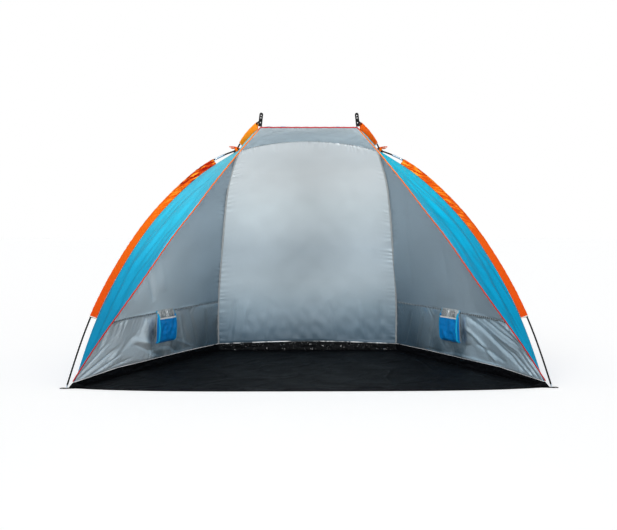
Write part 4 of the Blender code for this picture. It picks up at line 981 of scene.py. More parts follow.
def side_cloth(side, sign):
    """Make a side panel: a tall wall with a gathered band below its seam."""
    cloth = Cloth(finer_grid(SIDE_GRID, SIDE_ROWS, SIDE_COLUMNS)[:-CUT_ROWS] * (sign, 1, 1))
    share = np.linspace(0.0, 1.0, SIDE_ROWS + 1)[:-CUT_ROWS][:, None] + 0 * cloth.u
    below = step_up((WALL_SEAM_SHARE - share) / 0.004)
    to_seam = np.abs(share - WALL_SEAM_SHARE) * cloth.length / 0.985
    seed = 10 + sign
    cloth.waves((0.0035, 0.42, seed))
    cloth.height += 0.0006 * ripple(cloth.u, cloth.v * 0.5, 0.14, seed + 1) * (0.5 + below)
    cloth.gather(cloth.left, cloth.v, 0.045, 0.03, 0.0012, seed + 3)
    cloth.gather(cloth.right, cloth.v, 0.032, 0.024, 0.0026, seed + 4)
    cloth.gather(to_seam, cloth.left, 0.024, 0.018 + 0.026 * below, 0.0016 + 0.0026 * below, seed + 5)
    cloth.gather(cloth.bottom, cloth.left, 0.030, 0.030, 0.0026, seed + 6)
    cloth.fold(WALL_FOLDS[side])
    # Beside the pocket the wall has no folds that stand out, so that the pocket lies free
    hem = joint_place(f"pocket_{side}_swing")
    depth, height = cloth.grid[..., 1], cloth.grid[..., 2]
    beside = 1 - step_up((np.abs(depth - hem[1]) - 0.078) / 0.06)
    beside = beside * step_up((height - 0.06) / 0.05) * step_up((hem[2] + 0.12 - height) / 0.10)
    cloth.height += beside * (np.maximum(cloth.height, 0.0) - cloth.height)
    cloth.height *= step_up(to_seam / 0.016)
    cloth.held(0.010)
    marks = np.repeat(np.arange(len(share) - 1) < SEAM_ROW, share.shape[1] - 1)
    cloth_piece(f"wall_cloth_{side}", cloth, [wall_silver, outside_blue, band_silver],
                f"side_panel_{side}", marks, marked_outside=False)
    return cloth


def rear_cloth():
    """Make the rear panel."""
    cloth = Cloth(finer_grid(REAR_GRID, 230, 230))
    cloth.waves((0.004, 0.60, 31), (0.0004, 0.16, 32))
    cloth.height += 0.010 * np.sin(pi * cloth.columns_share) * np.sin(pi * cloth.rows_share)
    for edge, seed in ((cloth.left, 33), (cloth.right, 35)):
        cloth.gather(edge, cloth.v, 0.030, 0.024, 0.0030, seed)
    cloth.gather(cloth.top, cloth.u, 0.032, 0.026, 0.0032, 37)
    cloth.gather(cloth.bottom, cloth.u, 0.034, 0.030, 0.0007, 39)
    low = step_up(1 - cloth.bottom / 0.30)
    cloth.height += low * 0.0010 * ripple(cloth.u * 1.4, cloth.v, 0.10, 41)
    rising = ((230, 5, 0.004), (240, 8, -0.002), (262, 10, 0.0015), (340, -12, 0.0015),
              (366, -8, -0.003), (384, -5, 0.004))
    cloth.fold([(x, 344, x + lean, 300, 2.2, height) for x, lean, height in rising])
    cloth.held(0.010)
    cloth_piece("rear_cloth", cloth, [silver, outside_blue], "rear_panel")


def roof_cloth():
    """Make the roof panel."""
    cloth = Cloth(finer_grid(ROOF_GRID, 70, 150))
    cloth.waves((0.0028, 0.30, 51), (0.0010, 0.07, 52))
    for gathered in ((cloth.left, cloth.v, 0.028, 0.040, 0.0022, 53),
                     (cloth.right, cloth.v, 0.028, 0.040, 0.0022, 54),
                     (cloth.bottom, cloth.u, 0.020, 0.026, 0.0024, 55),
                     (cloth.top, cloth.u, 0.050, 0.030, 0.0010, 56)):
        cloth.gather(*gathered)
    cloth.held(0.010)
    cloth_piece("roof_cloth", cloth, [roof_silver, outside_blue], "roof_panel")


def wing_cloth(side, sign):
    """Make a wing, drawn into folds that fan out from its two ends."""
    cloth = Cloth(finer_grid(WING_GRID, 330, 84)[:-3] * (sign, 1, 1))
    seed = 60 + 3 * sign
    share, across = cloth.rows_share, cloth.columns_share
    middle = np.sin(pi * share) ** 0.7 * np.sin(pi * across)
    cloth.height += 0.0036 * middle * np.sin(2 * pi * 2.5 * across + 1.1 * ripple(share, 0, 0.5, seed))
    cloth.height += 0.0012 * middle * np.sin(2 * pi * 6 * across + 2.0 * ripple(share, 0, 0.3, seed + 1))
    cloth.height += 0.0006 * ripple(cloth.u, cloth.v * 0.25, 0.06, seed + 2)
    cloth.gather(cloth.left, cloth.v, 0.050, 0.030, 0.0018, seed + 4)
    cloth.gather(cloth.right, cloth.v, 0.060, 0.020, 0.0010, seed + 5)
    cloth.fold(WING_FOLDS[side])
    cloth.held(0.012)
    cloth_piece(f"wing_cloth_{side}", cloth, [wing_blue_painted_light[side]] * 2, f"wing_{side}")
    return cloth


# Sleeves

def nearest(points, place):
    """Return the point of a line that lies nearest to a place."""
    steps = np.diff(points, axis=0)
    shares = np.sum((place - points[:-1]) * steps, axis=1) / np.sum(steps * steps, axis=1)
    spots = points[:-1] + steps * np.clip(shares, 0.0, 1.0)[:, None]
    return spots[int(np.argmin(np.linalg.norm(spots - place, axis=1)))]


SLEEVE_STEP, SLEEVE_THICKNESS = 0.0045, 0.0006
SLEEVE_MOUTH = radians(74)   # half the turn at which the round part meets the flat layers


def sleeve_cloth(name, path, seam, start, end, side, node, seed, ruffle):
    """Make a sleeve round a pole, with two flat layers that run to the seam and slanting wrinkles."""
    round_radius = FERRULE_RADIUS + SLIDING_FIT + CLOTH
    count = ceil((end - start) / SLEEVE_STEP) + 1
    turns = np.linspace(SLEEVE_MOUTH, 2 * pi - SLEEVE_MOUTH, 15)
    shares = np.linspace(0.0, 1.0, 12)[1:]
    flat_share = np.concatenate((0 * turns, shares, shares[::-1]))
    layer = np.concatenate((0 * turns, 0 * shares - 1, 0 * shares + 1))
    points, flats = [], []
    for distance in np.linspace(start, end, count):
        centre, forward = path.point(distance), path.tangent(distance)
        inward = nearest(seam.points, centre) - centre
        inward = inward - forward * np.dot(inward, forward)
        far = float(np.linalg.norm(inward)) - FABRIC / 2 - CLOTH / 2 - SLIDING_FIT
        inward = unit(inward)
        bend = round_radius * np.cos(turns[0])
        a = bend + (far - bend) * shares
        b = round_radius * np.sin(turns[0]) * (1 - shares) ** 1.2 + CLOTH * 0.9
        ring_a = np.concatenate((round_radius * np.cos(turns), a, a[::-1]))
        ring_b = np.concatenate((round_radius * np.sin(turns), -b, b[::-1]))
        near_end = min(1.0, (distance - start) / 0.02, (end - distance) / 0.02)
        slant = distance + 0.55 * ring_a * layer
        steep = distance + 1.4 * ring_a * layer
        strength = float(np.interp((distance - start) / (end - start), (0, 0.55, 0.8, 1.0), ruffle))
        wave = np.sin(2 * pi * slant / 0.021 + 2.4 * ripple(slant, layer * 0.1, 0.07, seed))
        wave = wave + 0.7 * np.sin(2 * pi * steep / 0.033 + 3 * ripple(slant, layer * 0.1, 0.15, seed + 1))
        lift = strength * wave * np.sin(pi * np.clip(flat_share, 0, 1)) ** 0.8 * (0.5 + 0.5 * near_end)
        ring_b = ring_b + layer * np.maximum(lift, -0.55 * np.abs(ring_b))
        puff = 0.0004 * ripple(distance, turns * 0.01, 0.03, seed + 2)
        ring_a[:len(turns)] += puff * np.cos(turns)
        points.append(centre + np.outer(ring_a, inward) + np.outer(ring_b, np.cross(forward, inward)))
        girth_at = lengths_along(np.column_stack((ring_a, ring_b)))
        flats.append(np.column_stack((girth_at, distance + 0 * ring_a)))
    points = np.array(points) * (1 if side == "right" else -1, 1, 1)
    corners = points.shape[1]
    quads = grid_quads(count, corners, around=True)
    girth = float(np.linalg.norm(np.diff(points[count // 2], axis=0), axis=1).sum())
    made = shell(name, points.reshape(-1, 3), quads if ring_faces_out(points, quads) else quads[:, ::-1],
                 np.array(flats).reshape(-1, 2), [sleeve_orange_painted_light[side], sleeve_orange_painted_light[side], hem_pale],
                 nodes=(node,), marks=np.repeat(np.arange(count - 1) < 1, corners),
                 thickness=SLEEVE_THICKNESS)
    declare(girth, end - start, girth * (end - start))


def ring_faces_out(points, quads):
    """Tell whether the faces of a tube look away from its middle line."""
    flat = points.reshape(-1, 3)
    middles = np.repeat(points.mean(axis=1), points.shape[1], axis=0)
    face = quads[len(quads) // 2 + 7]
    normal = np.cross(flat[face[2]] - flat[face[0]], flat[face[3]] - flat[face[1]])
    return np.dot(normal, flat[face].mean(axis=0) - middles[face[0]]) > 0


# Poles

def pole(prefix, path, coarse, sections, end, sign):
    """Make the sections and ferrules of a pole as smooth tubes."""
    scale = path.length / coarse.length
    joints = np.linspace(TIP_LENGTH, end, sections + 1)
    for i in range(sections):
        low = joints[i] + (HALF_BUTT_GAP if i else 0.0)
        high = joints[i + 1] - (HALF_BUTT_GAP if i < sections - 1 else 0.0)
        tube(f"{prefix}_tube_{i + 1}", path, low * scale, high * scale, POLE_DIAMETER / 2, POLE_BORE / 2,
             sign, pole_black, "pole", f"{prefix}_section_{i + 1}")
    for i, joint in enumerate(joints[1:-1]):
        ends = [(joint + way * FERRULE_LENGTH / 2) * scale for way in (-1, 1)]
        tube(f"{prefix}_collar_{i + 1}", path, *ends, FERRULE_RADIUS, POLE_DIAMETER / 2 + SLIDING_FIT / 2,
             sign, metal, "steel", f"{prefix}_ferrule_{i + 1}")


SOFT_EDGE = 0.0004


def tube(name, path, start, end, radius, bore, sign, look, slot, node):
    """Make a hollow tube with softened ends along a path."""
    stops = np.linspace(start, end, max(4, ceil((end - start) / 0.016)) + 1)
    stops = np.concatenate(([start, start + SOFT_EDGE], stops[1:-1], [end - SOFT_EDGE, end]))
    line, ups = (np.array([find(d) for d in stops]) * (sign, 1, 1) for find in (path.point, path.outward))
    ups = square_to(unit(np.gradient(line, axis=0)), ups)
    across = crosswise(line, ups)
    ring = round_ring(1.0, 20)
    outer = np.full(len(stops), radius)
    outer[[0, -1]] = radius - SOFT_EDGE
    order = [*range(len(stops)), *range(len(stops) - 1, -1, -1)]
    radii = np.concatenate((outer, np.full(len(stops), bore)))
    line, ups, across, where = line[order], ups[order], across[order], stops[order]
    around = across[:, None] * ring[:, :1] + ups[:, None] * ring[:, 1:]
    points = line[:, None] + around * radii[:, None, None]
    rows, corners = len(order), len(ring)
    last = np.arange(corners)
    after, base = (last + 1) % corners, (rows - 1) * corners
    close = np.stack((base + last, base + after, after, last), axis=-1)
    faces = np.vstack((grid_quads(rows, corners, around=True), close))[:, ::-1]
    uvs = grid_uvs(last * 2 * pi * radius / corners, where)
    plain_piece(name, points.reshape(-1, 3), faces, uvs, look, (node,))


def turned(name, profile, place, forward, look, nodes=(), corners=24):
    """Turn a profile of (radius, distance) pairs about a direction."""
    turn = np.array(Vector(forward).to_track_quat("Z", "Y").to_matrix())
    profile = np.array(profile)
    points = [[(r * x, r * y, h) for x, y in round_ring(1.0, corners)] for r, h in profile]
    points = np.array(points).reshape(-1, 3) @ turn.T + np.array(place)
    faces = [tuple(face) for face in grid_quads(len(profile), corners, around=True)]
    last = len(points) - corners
    faces += [tuple(range(corners - 1, -1, -1)), tuple(range(last, last + corners))]
    uvs = grid_uvs(np.arange(corners) / corners * 0.02, profile[:, 1])
    plain_piece(name, points, faces, uvs, look, nodes)


def foot_tip(name, path, sign, reverse=False):
    """Make the metal tip in the foot of a pole."""
    mirror = (sign, 1, 1)
    place = path.point(path.length if reverse else 0.0) * mirror
    forward = (-path.tangent(path.length) if reverse else path.tangent(0.0)) * mirror
    shank = (POLE_BORE - SLIDING_FIT) / 2 - SLIDING_FIT
    top, pin, out = TIP_LENGTH - SLIDING_FIT, PIN_DIAMETER / 2, POLE_DIAMETER / 2
    end = TIP_LENGTH + SHANK_LENGTH
    profile = ((0.0004, pin * 0.5), (pin * 0.55, pin * 0.62), (pin * 0.9, pin * 0.95), (pin, pin * 1.5),
               (pin, PIN_LENGTH - 0.0006), (pin + 0.0004, PIN_LENGTH), (out - 0.0005, PIN_LENGTH),
               (out, PIN_LENGTH + 0.0005), (out, top - 0.0014), (out - 0.0003, top - 0.0012),
               (out - 0.0003, top - 0.0008), (out, top - 0.0006), (out, top - 0.0001), (shank, top),
               (shank, end - 0.0005), (shank - 0.0005, end))
    turned(name.replace("_tip", "_point"), profile, place, forward, metal, (name,))


# Floor

FLOOR_ROWS, FLOOR_COLUMNS, RIM_STEPS = 110, 240, 12


def floor_cloth():
    """Make the floor: a crumpled sheet with a rim turned up along both sides and the rear."""
    rows, columns = FLOOR_ROWS, FLOOR_COLUMNS
    share = np.linspace(0.0, 1.0, rows + 1)[:, None]
    place = np.linspace(1.0, -1.0, columns + 1)[None]
    corner = FRONT_CORNER + (REAR_CORNER - FRONT_CORNER) * share[..., None]
    half, depth = (corner[..., k] + 0 * place for k in (0, 1))
    x = half * place
    y = depth - FLOOR_BOW * (1 - share) * (1 - place ** 4)
    edge_room = np.minimum((1 - np.abs(place)) * half, (1 - share) * DEPTH + 0 * place)
    calm = step_up(edge_room / 0.05) * step_up(share / 0.03 + 0.15)
    creases = np.clip(1 - np.abs(ripple(x, y * 0.6, 0.34, 81)) * 1.4, 0, 1) ** 3
    cross_creases = np.clip(1 - np.abs(ripple(x * 0.5, y, 0.20, 82)) * 1.6, 0, 1) ** 3
    z = 0.0009 + calm * (0.0050 * creases + 0.0032 * cross_creases)
    z += calm * 0.0010 * (1 + ripple(x, y, 0.12, 83)) * 0.5
    base = np.stack((x, y, np.maximum(z, 0.0008)), axis=-1)
    ids = np.arange((rows + 1) * (columns + 1)).reshape(rows + 1, columns + 1)
    line = np.concatenate((ids[:-1, 0], ids[-1], ids[-2::-1, -1]))
    base = base.reshape(-1, 3)
    feet = base[line]
    around = lengths_along(feet)
    rim_line = side_rim(SHARES_9)
    side_top = np.interp(share[:, 0] * DEPTH, rim_line[:, 1], rim_line[:, 2])
    rear_top = rear_rim(np.linspace(0, 1, columns + 1))[:, 2]
    tops = np.concatenate((side_top[:-1], rear_top, side_top[-2::-1])) - 0.0006
    out = unit(np.column_stack((feet[:, 0] * 0.9, feet[:, 1] - 0.35, 0 * around)))
    points, quads, previous = [base], [grid_quads(rows + 1, columns + 1)], line
    for level in range(1, RIM_STEPS + 1):
        up = level / RIM_STEPS
        wobble = 0.0028 * ripple(around, up * 0.05, 0.045, 84)
        wobble = wobble + 0.0016 * ripple(around, up * 0.03, 0.016, 85)
        lean = 0.0040 * (1 - up) ** 2 - 0.0040
        spots = feet - out * 0.0022 + out * (sin(pi * up) * wobble + lean * 0.2)[:, None]
        spots[:, 2] = feet[:, 2] + (tops - feet[:, 2]) * up
        now = len(base) + (level - 1) * len(line) + np.arange(len(line))
        points.append(spots)
        quads.append(np.column_stack((previous[:-1], previous[1:], now[1:], now[:-1])))
        previous = now
    # The rear rim gets the black look with painted glints.
    place_on_line = np.arange(len(line) - 1)
    behind = (place_on_line >= rows) & (place_on_line < rows + columns)
    marks = np.concatenate((np.zeros(len(quads[0]), int), np.tile(behind, RIM_STEPS)))
    points, quads = np.vstack(points), np.vstack(quads)
    rim_uv = [(along, 2 + level * 0.004) for level in range(1, RIM_STEPS + 1) for along in around]
    made = shell("floor_cloth", points, quads, np.vstack((base[:, :2], rim_uv)),
                 [floor_black, floor_black, rim_black], inside=(0.0, 0.5, 0.6),
                 nodes=("floor",), marks=marks, marked_outside=False)
    # A pale hem strip along the rear rim; its white patches are painted glints.
    spots = np.linspace(0.04, 0.96, 161)
    edge = rear_rim(spots) + np.array([0.0, -0.0040, -0.0012])
    edge[:, 1] -= 0.0008 * ripple(np.linspace(0.0, 1.0, len(spots)), 0, 0.05, 86)
    sweep("rear_rim_edge", edge, np.tile((0.0, -0.8, 0.6), (len(spots), 1)), band_ring(0.0048, 0.0009),
          rim_edge)
    corners = points[quads]
    cells = np.cross(corners[:, 2] - corners[:, 0], corners[:, 3] - corners[:, 1])
    declare(2 * FRONT_CORNER[0] + 2 * RIM_SIDE, DEPTH + FLOOR_BOW + RIM_REAR,
            float(np.linalg.norm(cells, axis=1).sum() / 2))


def corner_gusset(side, sign):
    """Make the black corner piece that joins the floor, the wall and the foot tab."""
    low = np.array([FRONT_CORNER[0] + 0.020, -0.0015, 0.0022])
    top = FRONT_CORNER + np.array([-0.004, -0.0022, RIM_FRONT + PIPING_DIAMETER])
    back = FRONT_CORNER + np.array([-0.070, 0.0, 0.0020])
    rows = np.linspace(0.0, 1.0, 15)[:, None, None]
    columns = np.linspace(0.0, 1.0, 15)[None, :, None]
    right = low + (top - low) * rows
    left = back + (top - back) * rows
    bulge = np.sin(pi * rows) * np.sin(pi * columns) * np.array([0.0, -0.006, -0.001])
    waves = 0.0016 * np.sin(columns * 19) * np.sin(pi * rows) * np.array([0, 1, 0])
    cloth = Cloth((right + (left - right) * columns + bulge + waves)[:-1] * (sign, 1, 1))
    shell(f"corner_gusset_{side}", cloth.grid.reshape(-1, 3), grid_quads(*cloth.u.shape), cloth.uvs,
          [floor_black, floor_black], inside=INSIDE)


# Bindings, seams and stitches

def opening_binding():
    """Make the binding round the opening."""
    edge = finer_line(opening_edge(), 260)
    roof_line = between(ROOF_CORNER, ROOF_CORNER * MIRROR, np.linspace(0.0, 1.0, 71))
    line = np.vstack((edge, roof_line[1:-1], (edge * MIRROR)[::-1]))
    wobble = 0.0005 * np.sin(lengths_along(line) * 2 * pi / 0.045)
    ups = unit(line - np.array([0.0, 0.3, 0.45]))
    sweep("opening_binding", line + ups * wobble[:, None], ups, round_ring(0.0033, 14, 0.86), piping_look,
          nodes=("opening_piping",))


def seam_tape(name, line, ups, width, look, pucker, seed, off=0.0010):
    """Make a thin tape over a seam, with a small pucker."""
    along = lengths_along(line)
    lift = off + pucker * (1 + np.sin(2 * pi * along / 0.021 + 2 * ripple(along, 0, 0.12, seed))) / 2
    sway = 0.0006 * ripple(along, 0, 0.03, seed + 1)
    line = line + ups * lift[:, None] + crosswise(line, ups) * sway[:, None]
    sweep(name, line, ups, band_ring(width, 0.0011), look)
    return line


def seams():
    """Make the tapes and stitches over the seams of the inside."""
    line = finer_line(TOP_SEAM, 260)
    ups = unit(np.array(INSIDE) - line)
    tape = seam_tape("roof_seam_tape", line, ups, 0.0075, seam_light, 0.0022, 91)
    across = crosswise(tape, ups)
    across *= -np.sign(across[:, 1:2])
    stitches("roof_seam_stitches", tape - across * 0.0016, ups, thread_pale, ROOF_STITCH)
    stitches("roof_seam_stitches_front", tape + across * 0.0046, ups, thread_dark, ROOF_FRONT_STITCH)
    for side, sign in SIDES:
        line = finer_line(REAR_SEAM, 280) * (sign, 1, 1)
        ups = unit(np.array((0.0, 0.2, 0.5)) - line)
        # The tape lies flat across the corner of two panels, so it stands off further
        tape = seam_tape(f"rear_seam_tape_{side}", line, ups, 0.0120, seam_grey, 0.0010, 93, off=0.0046)
        across = crosswise(tape, ups)
        across *= np.sign(across[:, :1]) * sign
        stitches(f"rear_seam_stitches_{side}_in", tape - across * 0.0038, ups, thread_pale, REAR_STITCH)
        stitches(f"rear_seam_stitches_{side}_out", tape + across * 0.0058, ups, thread_dark,
                 REAR_OUTER_STITCH)
        final, ups = walls[side].final, -walls[side].out[SEAM_ROW]
        for name, shift in (("low", -1), ("high", 1)):
            line = final[SEAM_ROW] + 0.40 * (final[SEAM_ROW + shift] - final[SEAM_ROW])
            stitches(f"wall_seam_stitches_{side}_{name}", line, ups, thread_dark, WALL_STITCH)
        seam_tape(f"wall_seam_{side}", final[SEAM_ROW], ups, 0.0085, seam_shaded_puckers, 0.0010, 95)


def edge_stitches(cloth, side):
    """Make the stitches beside the binding, on both faces of a wing."""
    beside = (slice(6, -6), -4)
    for name, way in (("front", 1), ("back", -1)):
        stitches(f"binding_stitches_{side}_{name}", cloth.final[beside], way * cloth.out[beside],
                 thread_orange, BINDING_STITCH)


# Pockets

POCKET_ALONG, POCKET_DROP = (-0.42989, 0.90288, 0.0), (0.03620, 0.01724, -1.0)    # right pocket
POCKET_SIZE = (0.160, 0.172, 0.024, 0.040)    # width, height, depth, drop of the front at the mouth


def pocket(side, sign):
    """Make a pocket with a gathered back, a hemmed mouth and taped sides, hung on its joint's line."""
    hem = np.array(joint_place(f"pocket_{side}_swing"))
    along, drop = unit(POCKET_ALONG) * (sign, 1, 1), unit(POCKET_DROP) * (sign, 1, 1)
    out = np.cross(along, drop)
    out = out * -np.sign(out[0] * sign)
    width, height, depth, mouth = POCKET_SIZE
    rows = 48
    ring = bag_ring()
    sides = len(ring)
    y = ring[:, 1]
    forwards = (1 + y) / 2
    calm = 1 - np.abs(ring[:, 0]) ** 6
    share = np.linspace(0.0, 1.0, rows + 1)[:, None]
    x = ring[:, 0] * width / 2 + 0 * share

    def swell(share):
        full = depth / 2 * (1 - 0.25 * (1 - np.sin(pi * share)))
        return full * (1 - step_up((share - 0.90) / 0.1) * (1 - 1 / 3))

    top = mouth * forwards[None]
    below = top + (height - top) * share
    wave = np.sin(2 * pi * (1.7 * x / width + 0.9 * share) + sign)
    wave = wave + 0.7 * np.sin(2 * pi * (3.1 * x / width - 0.5 * share))
    reach = swell(share) * (1 + y) + 0.0018 * wave * forwards * calm * np.sin(pi * share * 0.9 + 0.25)
    reach = reach + 0.0010 * ripple(x, below, 0.05, 101 + sign) * forwards * calm
    gathers = 1 + np.sin(2 * pi * x / 0.0135 + 2 * ripple(x, 0, 0.05, 103))
    gathers = 0.0024 * gathers * step_up(-y * 3) * (1 + 0.6 * ripple(x, below, 0.014, 104))
    reach = reach + gathers * step_up(1.2 - below / 0.055) * step_up(below / 0.012)
    reach = reach + 0.0010 * ripple(x, below, 0.035, 105 + sign) * np.sin(pi * share) * forwards * calm
    points = hem + along * x[..., None] + drop * below[..., None] + out * reach[..., None]
    row_of = np.repeat(np.arange(rows), sides)
    middle_y = np.tile((y + np.roll(y, -1)) / 2, rows)
    marks = np.where(middle_y < -0.35, 1, 0)
    marks = np.where((row_of < 3) & (middle_y > 0.9), 2, marks)
    last = rows * sides
    closing = [(last + i, last + i + 1, last + sides - 2 - i, last + sides - 1 - i)
               for i in range(sides // 2 - 1)]
    quads = np.vstack((grid_quads(rows + 1, sides, around=True), np.array(closing)))
    marks = np.concatenate((marks, np.zeros(len(closing), int)))
    uvs = np.stack((x, below), axis=-1).reshape(-1, 2)
    body = f"pocket_{side}_body"
    bag = shell(f"pocket_bag_{side}", points.reshape(-1, 3), quads, uvs,
                [pocket_blue, pocket_blue, pocket_silver, pocket_hem],
                inside=hem + drop * height / 2 + out * depth / 2, nodes=(f"pocket_{side}",), marks=marks,
                body=body, thickness=0.0007)
    for name, edge in (("front", -1), ("rear", 1)):
        steps = np.linspace(0.0015, height - 0.0010, 70)
        front = 2 * swell(np.clip((steps - mouth) / (height - mouth), 0.0, 1.0)) + 0.0014
        lean = 0.0025 + (front - 0.0025) * step_up(steps / mouth) ** 1.4
        beside = edge * (width / 2 - 0.0022) + 0.0007 * np.sin(steps * 90 + edge)
        line = hem + drop * steps[:, None] + along * beside[:, None] + out * lean[:, None]
        ups = np.repeat((out + along * edge * 0.45)[None], len(steps), axis=0)
        sweep(f"pocket_tape_{side}_{name}", line, ups, band_ring(0.0085, 0.0012), pocket_edge,
                           body=body)


def bag_ring():
    """Return a flat bag's outline from above, half its front and half its back, from -1 to 1."""
    up = np.linspace(0.08, 0.86, 6)
    over = np.linspace(0.955, -0.955, 40)
    front = [*((1.0, y) for y in up), (0.988, 0.97), *((x, 1.0) for x in over), (-0.988, 0.97),
             *((-1.0, y) for y in up[::-1])]
    return np.array(front + [(x, -y) for x, y in front[::-1]])


# Ribbons

def ribbon(side, sign):
    """Make a ribbon tied round the two poles where they cross, with a bow."""
    mirror = (sign, 1, 1)
    first, second = ARCH.point(ARCH_CROSSING), SIDE.point(SIDE_POLE_CROSSING)
    up = unit(second - first)
    one, other = ARCH.tangent(ARCH_CROSSING), SIDE.tangent(SIDE_POLE_CROSSING)
    across = unit(np.cross(up, unit(one + other)))
    forward = np.cross(across, up)
    centre = (first + second) / 2
    straight = float(np.dot(one, forward))
    half_width = (POLE_DIAMETER / 2 + 0.0045 * (1 - straight ** 2) ** 0.5) / straight + 0.0005
    half_height = POLE_DIAMETER + SLIDING_FIT / 2 + 0.0005
    turns = np.linspace(0.0, 2 * pi, 61)

    def band(name, line, ups, width, thickness=0.0008, nodes=()):
        sweep(name, line * mirror, ups * mirror, band_ring(width, thickness), ribbon_look, nodes)

    for k, slant in enumerate((0.35, -0.35)):
        x, y = (np.sign(wave) * np.abs(wave) ** 0.45 * (half + 0.0006 + 0.0007 * k)
                for wave, half in ((np.cos(turns), half_width), (np.sin(turns), half_height)))
        line = centre + across * x[:, None] + up * y[:, None] + forward * (slant * x)[:, None]
        ups = across * np.cos(turns)[:, None] + up * np.sin(turns)[:, None]
        band(f"ribbon_wrap_{side}_{k + 1}", line, ups, 0.0080, nodes=() if k else (f"tie_ribbon_{side}",))
    seat = centre + up * (half_height + 0.0030)
    knot = [(0.0005, -0.0042), (0.0026, -0.0036), (0.0036, -0.0015), (0.0038, 0.0008), (0.0030, 0.0030),
            (0.0008, 0.0042)]
    turned(f"ribbon_knot_{side}", knot, seat * mirror, across * mirror, ribbon_look, corners=18)
    aside = np.array([1.0, 0.0, 0.0])
    aside = unit(aside - up * np.dot(aside, up))
    for k, (rise, length, turn) in enumerate(((0.55, 0.034, 0.25), (0.10, 0.030, -0.45))):
        t = np.linspace(0.0, 2 * pi, 49)
        reach = length * (1 - np.cos(t)) / 2
        open_by = 0.0060 * np.sin(t) * (reach / length) ** 0.5
        way = unit(aside + np.cross(up, aside) * turn)
        line = seat + way * reach[:, None] + up * (open_by + rise * reach)[:, None]
        ups = up * np.sin(t + 1e-6)[:, None] + way * (-np.cos(t))[:, None]
        band(f"ribbon_loop_{side}_{k + 1}", line, ups, 0.0100)
        t = np.linspace(0.0, 1.0, 22)
        way = unit(aside * (1 - 1.6 * k) + np.cross(up, aside) * (0.9 - 0.3 * k))
        line = seat + way * (0.026 * t)[:, None] + up * (0.0016 * np.sin(t * 7) - 0.007 * t ** 2)[:, None]
        band(f"ribbon_tail_{side}_{k + 1}", line, np.repeat(up[None], len(t), axis=0), 0.0070, 0.0007)


# Making

roof_cloth()
rear_cloth()
walls = {}
for side, sign in SIDES:
    walls[side] = side_cloth(side, sign)
    edge_stitches(wing_cloth(side, sign), side)
SLEEVES = (
    ("arch_sleeve", ARCH_FINE, ARCH_SEAM.finer(), ARCH, ARCH_SLEEVE_START, ARCH_SLEEVE_END,
     (0.0007, 0.0010, 0.0020, 0.0030)),
    ("rear_sleeve", SIDE_FINE, SIDE_SEAM.finer(), SIDE, REAR_SLEEVE_START,
     SIDE_POLE_CROSSING - REAR_SLEEVE_CLEAR, (0.0007, 0.0009, 0.0016, 0.0024)),
    ("roof_sleeve", SIDE_FINE, SIDE_SEAM.finer(), SIDE, SIDE_POLE_CROSSING + ROOF_SLEEVE_CLEAR,
     SIDE.length - ROOF_SLEEVE_SHORT, (0.0012, 0.0010, 0.0008, 0.0008)),
)
for name, fine, seam, coarse, start, end, ruffle in SLEEVES:
    scale = fine.length / coarse.length
    for side, sign in SIDES:
        sleeve_cloth(f"{name}_cloth_{side}", fine, seam, start * scale, end * scale, side, f"{name}_{side}",
                     70 + 4 * sign + len(name), ruffle)
pole("arch", ARCH_FINE, ARCH, ARCH_SECTIONS, ARCH.length - TIP_LENGTH, 1)
foot_tip("arch_tip_right", ARCH_FINE, 1)
foot_tip("arch_tip_left", ARCH_FINE, 1, reverse=True)
for side, sign in SIDES:
    pole(f"side_pole_{side}", SIDE_FINE, SIDE, SIDE_SECTIONS, SIDE.length - 0.0020, sign)
    foot_tip(f"side_pole_{side}_tip", SIDE_FINE, sign)
floor_cloth()
opening_binding()
seams()
for side, sign in SIDES:
    corner_gusset(side, sign)
    pocket(side, sign)
    ribbon(side, sign)
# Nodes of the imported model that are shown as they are
SHOWN_NODES = (("tongue", clip_black), ("corner_tab", webbing_black), ("peg_loop", webbing_black),
               ("arch_shock_cord", elastic_look), ("side_pole_left_shock_cord", elastic_look),
               ("side_pole_right_shock_cord", elastic_look))
for node, thing in frame["nodes"].items():
    for start, look in SHOWN_NODES:
        if node.startswith(start):
            thing.data.materials.clear()
            thing.data.materials.append(look)


# Stage

def empty_tree(owner):
    """Return the emptied node tree of a world or a material."""
    owner.use_nodes = True
    owner.node_tree.nodes.clear()
    return owner.node_tree


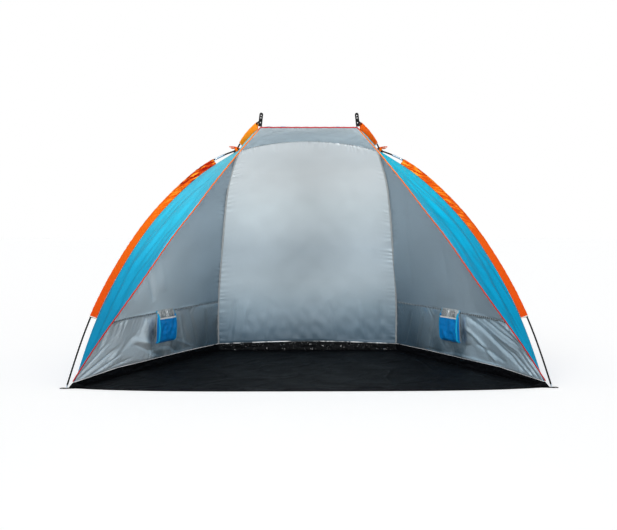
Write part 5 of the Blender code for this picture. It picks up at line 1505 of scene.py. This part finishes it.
def lit_world():
    """Light the scene evenly and show white behind it."""
    bpy.context.scene.world = bpy.data.worlds.new("studio")
    tree = empty_tree(bpy.context.scene.world)
    path = add_node(tree, "ShaderNodeLightPath")
    seen = path.outputs["Is Camera Ray"]
    for name in ("Is Glossy Ray", "Is Transmission Ray"):
        sockets = {0: seen, 1: path.outputs[name]}
        seen = add_node(tree, "ShaderNodeMath", sockets, operation="MAXIMUM").outputs[0]
    sockets = {0: seen}
    for k, (colour, strength) in enumerate((((0.97, 0.985, 1.0, 1.0), 0.55), (WHITE, 1.0))):
        back = add_node(tree, "ShaderNodeBackground", {"Color": colour, "Strength": strength})
        sockets[k + 1] = back.outputs[0]
    mix = add_node(tree, "ShaderNodeMixShader", sockets)
    add_node(tree, "ShaderNodeOutputWorld", {0: mix.outputs[0]})


def lamp(name, kind, way, axis, energy, **settings):
    """Add a soft lamp."""
    data = bpy.data.lights.new(name, kind)
    data.energy = energy
    for key, value in settings.items():
        setattr(data, key, value)
    made = new_object(name, data)
    aim(made, way, axis)
    return made


GROUND_HALF, GROUND_LEVEL = 40.0, -0.0005
GROUND_GREY, GROUND_GLOW = 0.80, 0.37    # the glow shows only to the camera and makes the ground white


def ground():
    """Add the white ground, which keeps the tent's shadow."""
    data = bpy.data.meshes.new("ground")
    corners = [(x * GROUND_HALF, y * GROUND_HALF, GROUND_LEVEL)
               for x, y in ((-1, -1), (1, -1), (1, 1), (-1, 1))]
    data.from_pydata(corners, [], [(0, 1, 2, 3)])
    material = bpy.data.materials.new("ground")
    tree = empty_tree(material)
    seen = add_node(tree, "ShaderNodeLightPath").outputs["Is Camera Ray"]
    level = add_node(tree, "ShaderNodeMath", {0: seen, 1: GROUND_GLOW}, operation="MULTIPLY")
    glow = add_node(tree, "ShaderNodeEmission", {"Strength": level.outputs[0]})
    diffuse = add_node(tree, "ShaderNodeBsdfDiffuse", {"Color": grey(GROUND_GREY)})
    total = add_node(tree, "ShaderNodeAddShader", {0: diffuse.outputs[0], 1: glow.outputs[0]})
    add_node(tree, "ShaderNodeOutputMaterial", {0: total.outputs[0]})
    data.materials.append(material)
    new_object("ground", data)


lit_world()
ground()
lamp("key", "SUN", (-0.44, -0.80, 0.75), "Z", 0.95, angle=radians(40.0), color=(1.0, 0.99, 0.97))
lamp("front", "SUN", (0.28, -1.0, 0.20), "Z", 0.75, angle=radians(50.0))
LOW_PLACE = Vector((-0.1, -3.4, 0.16))
low = lamp("low", "AREA", Vector((0.0, 0.6, 1.25)) - LOW_PLACE, "-Z", 13.0, shape="RECTANGLE", size=1.6,
           size_y=1.6 / 6, spread=radians(50.0))
low.location = LOW_PLACE
low.visible_camera = False
bpy.context.scene.view_settings.view_transform = "Standard"

bpy.context.view_layer.update()
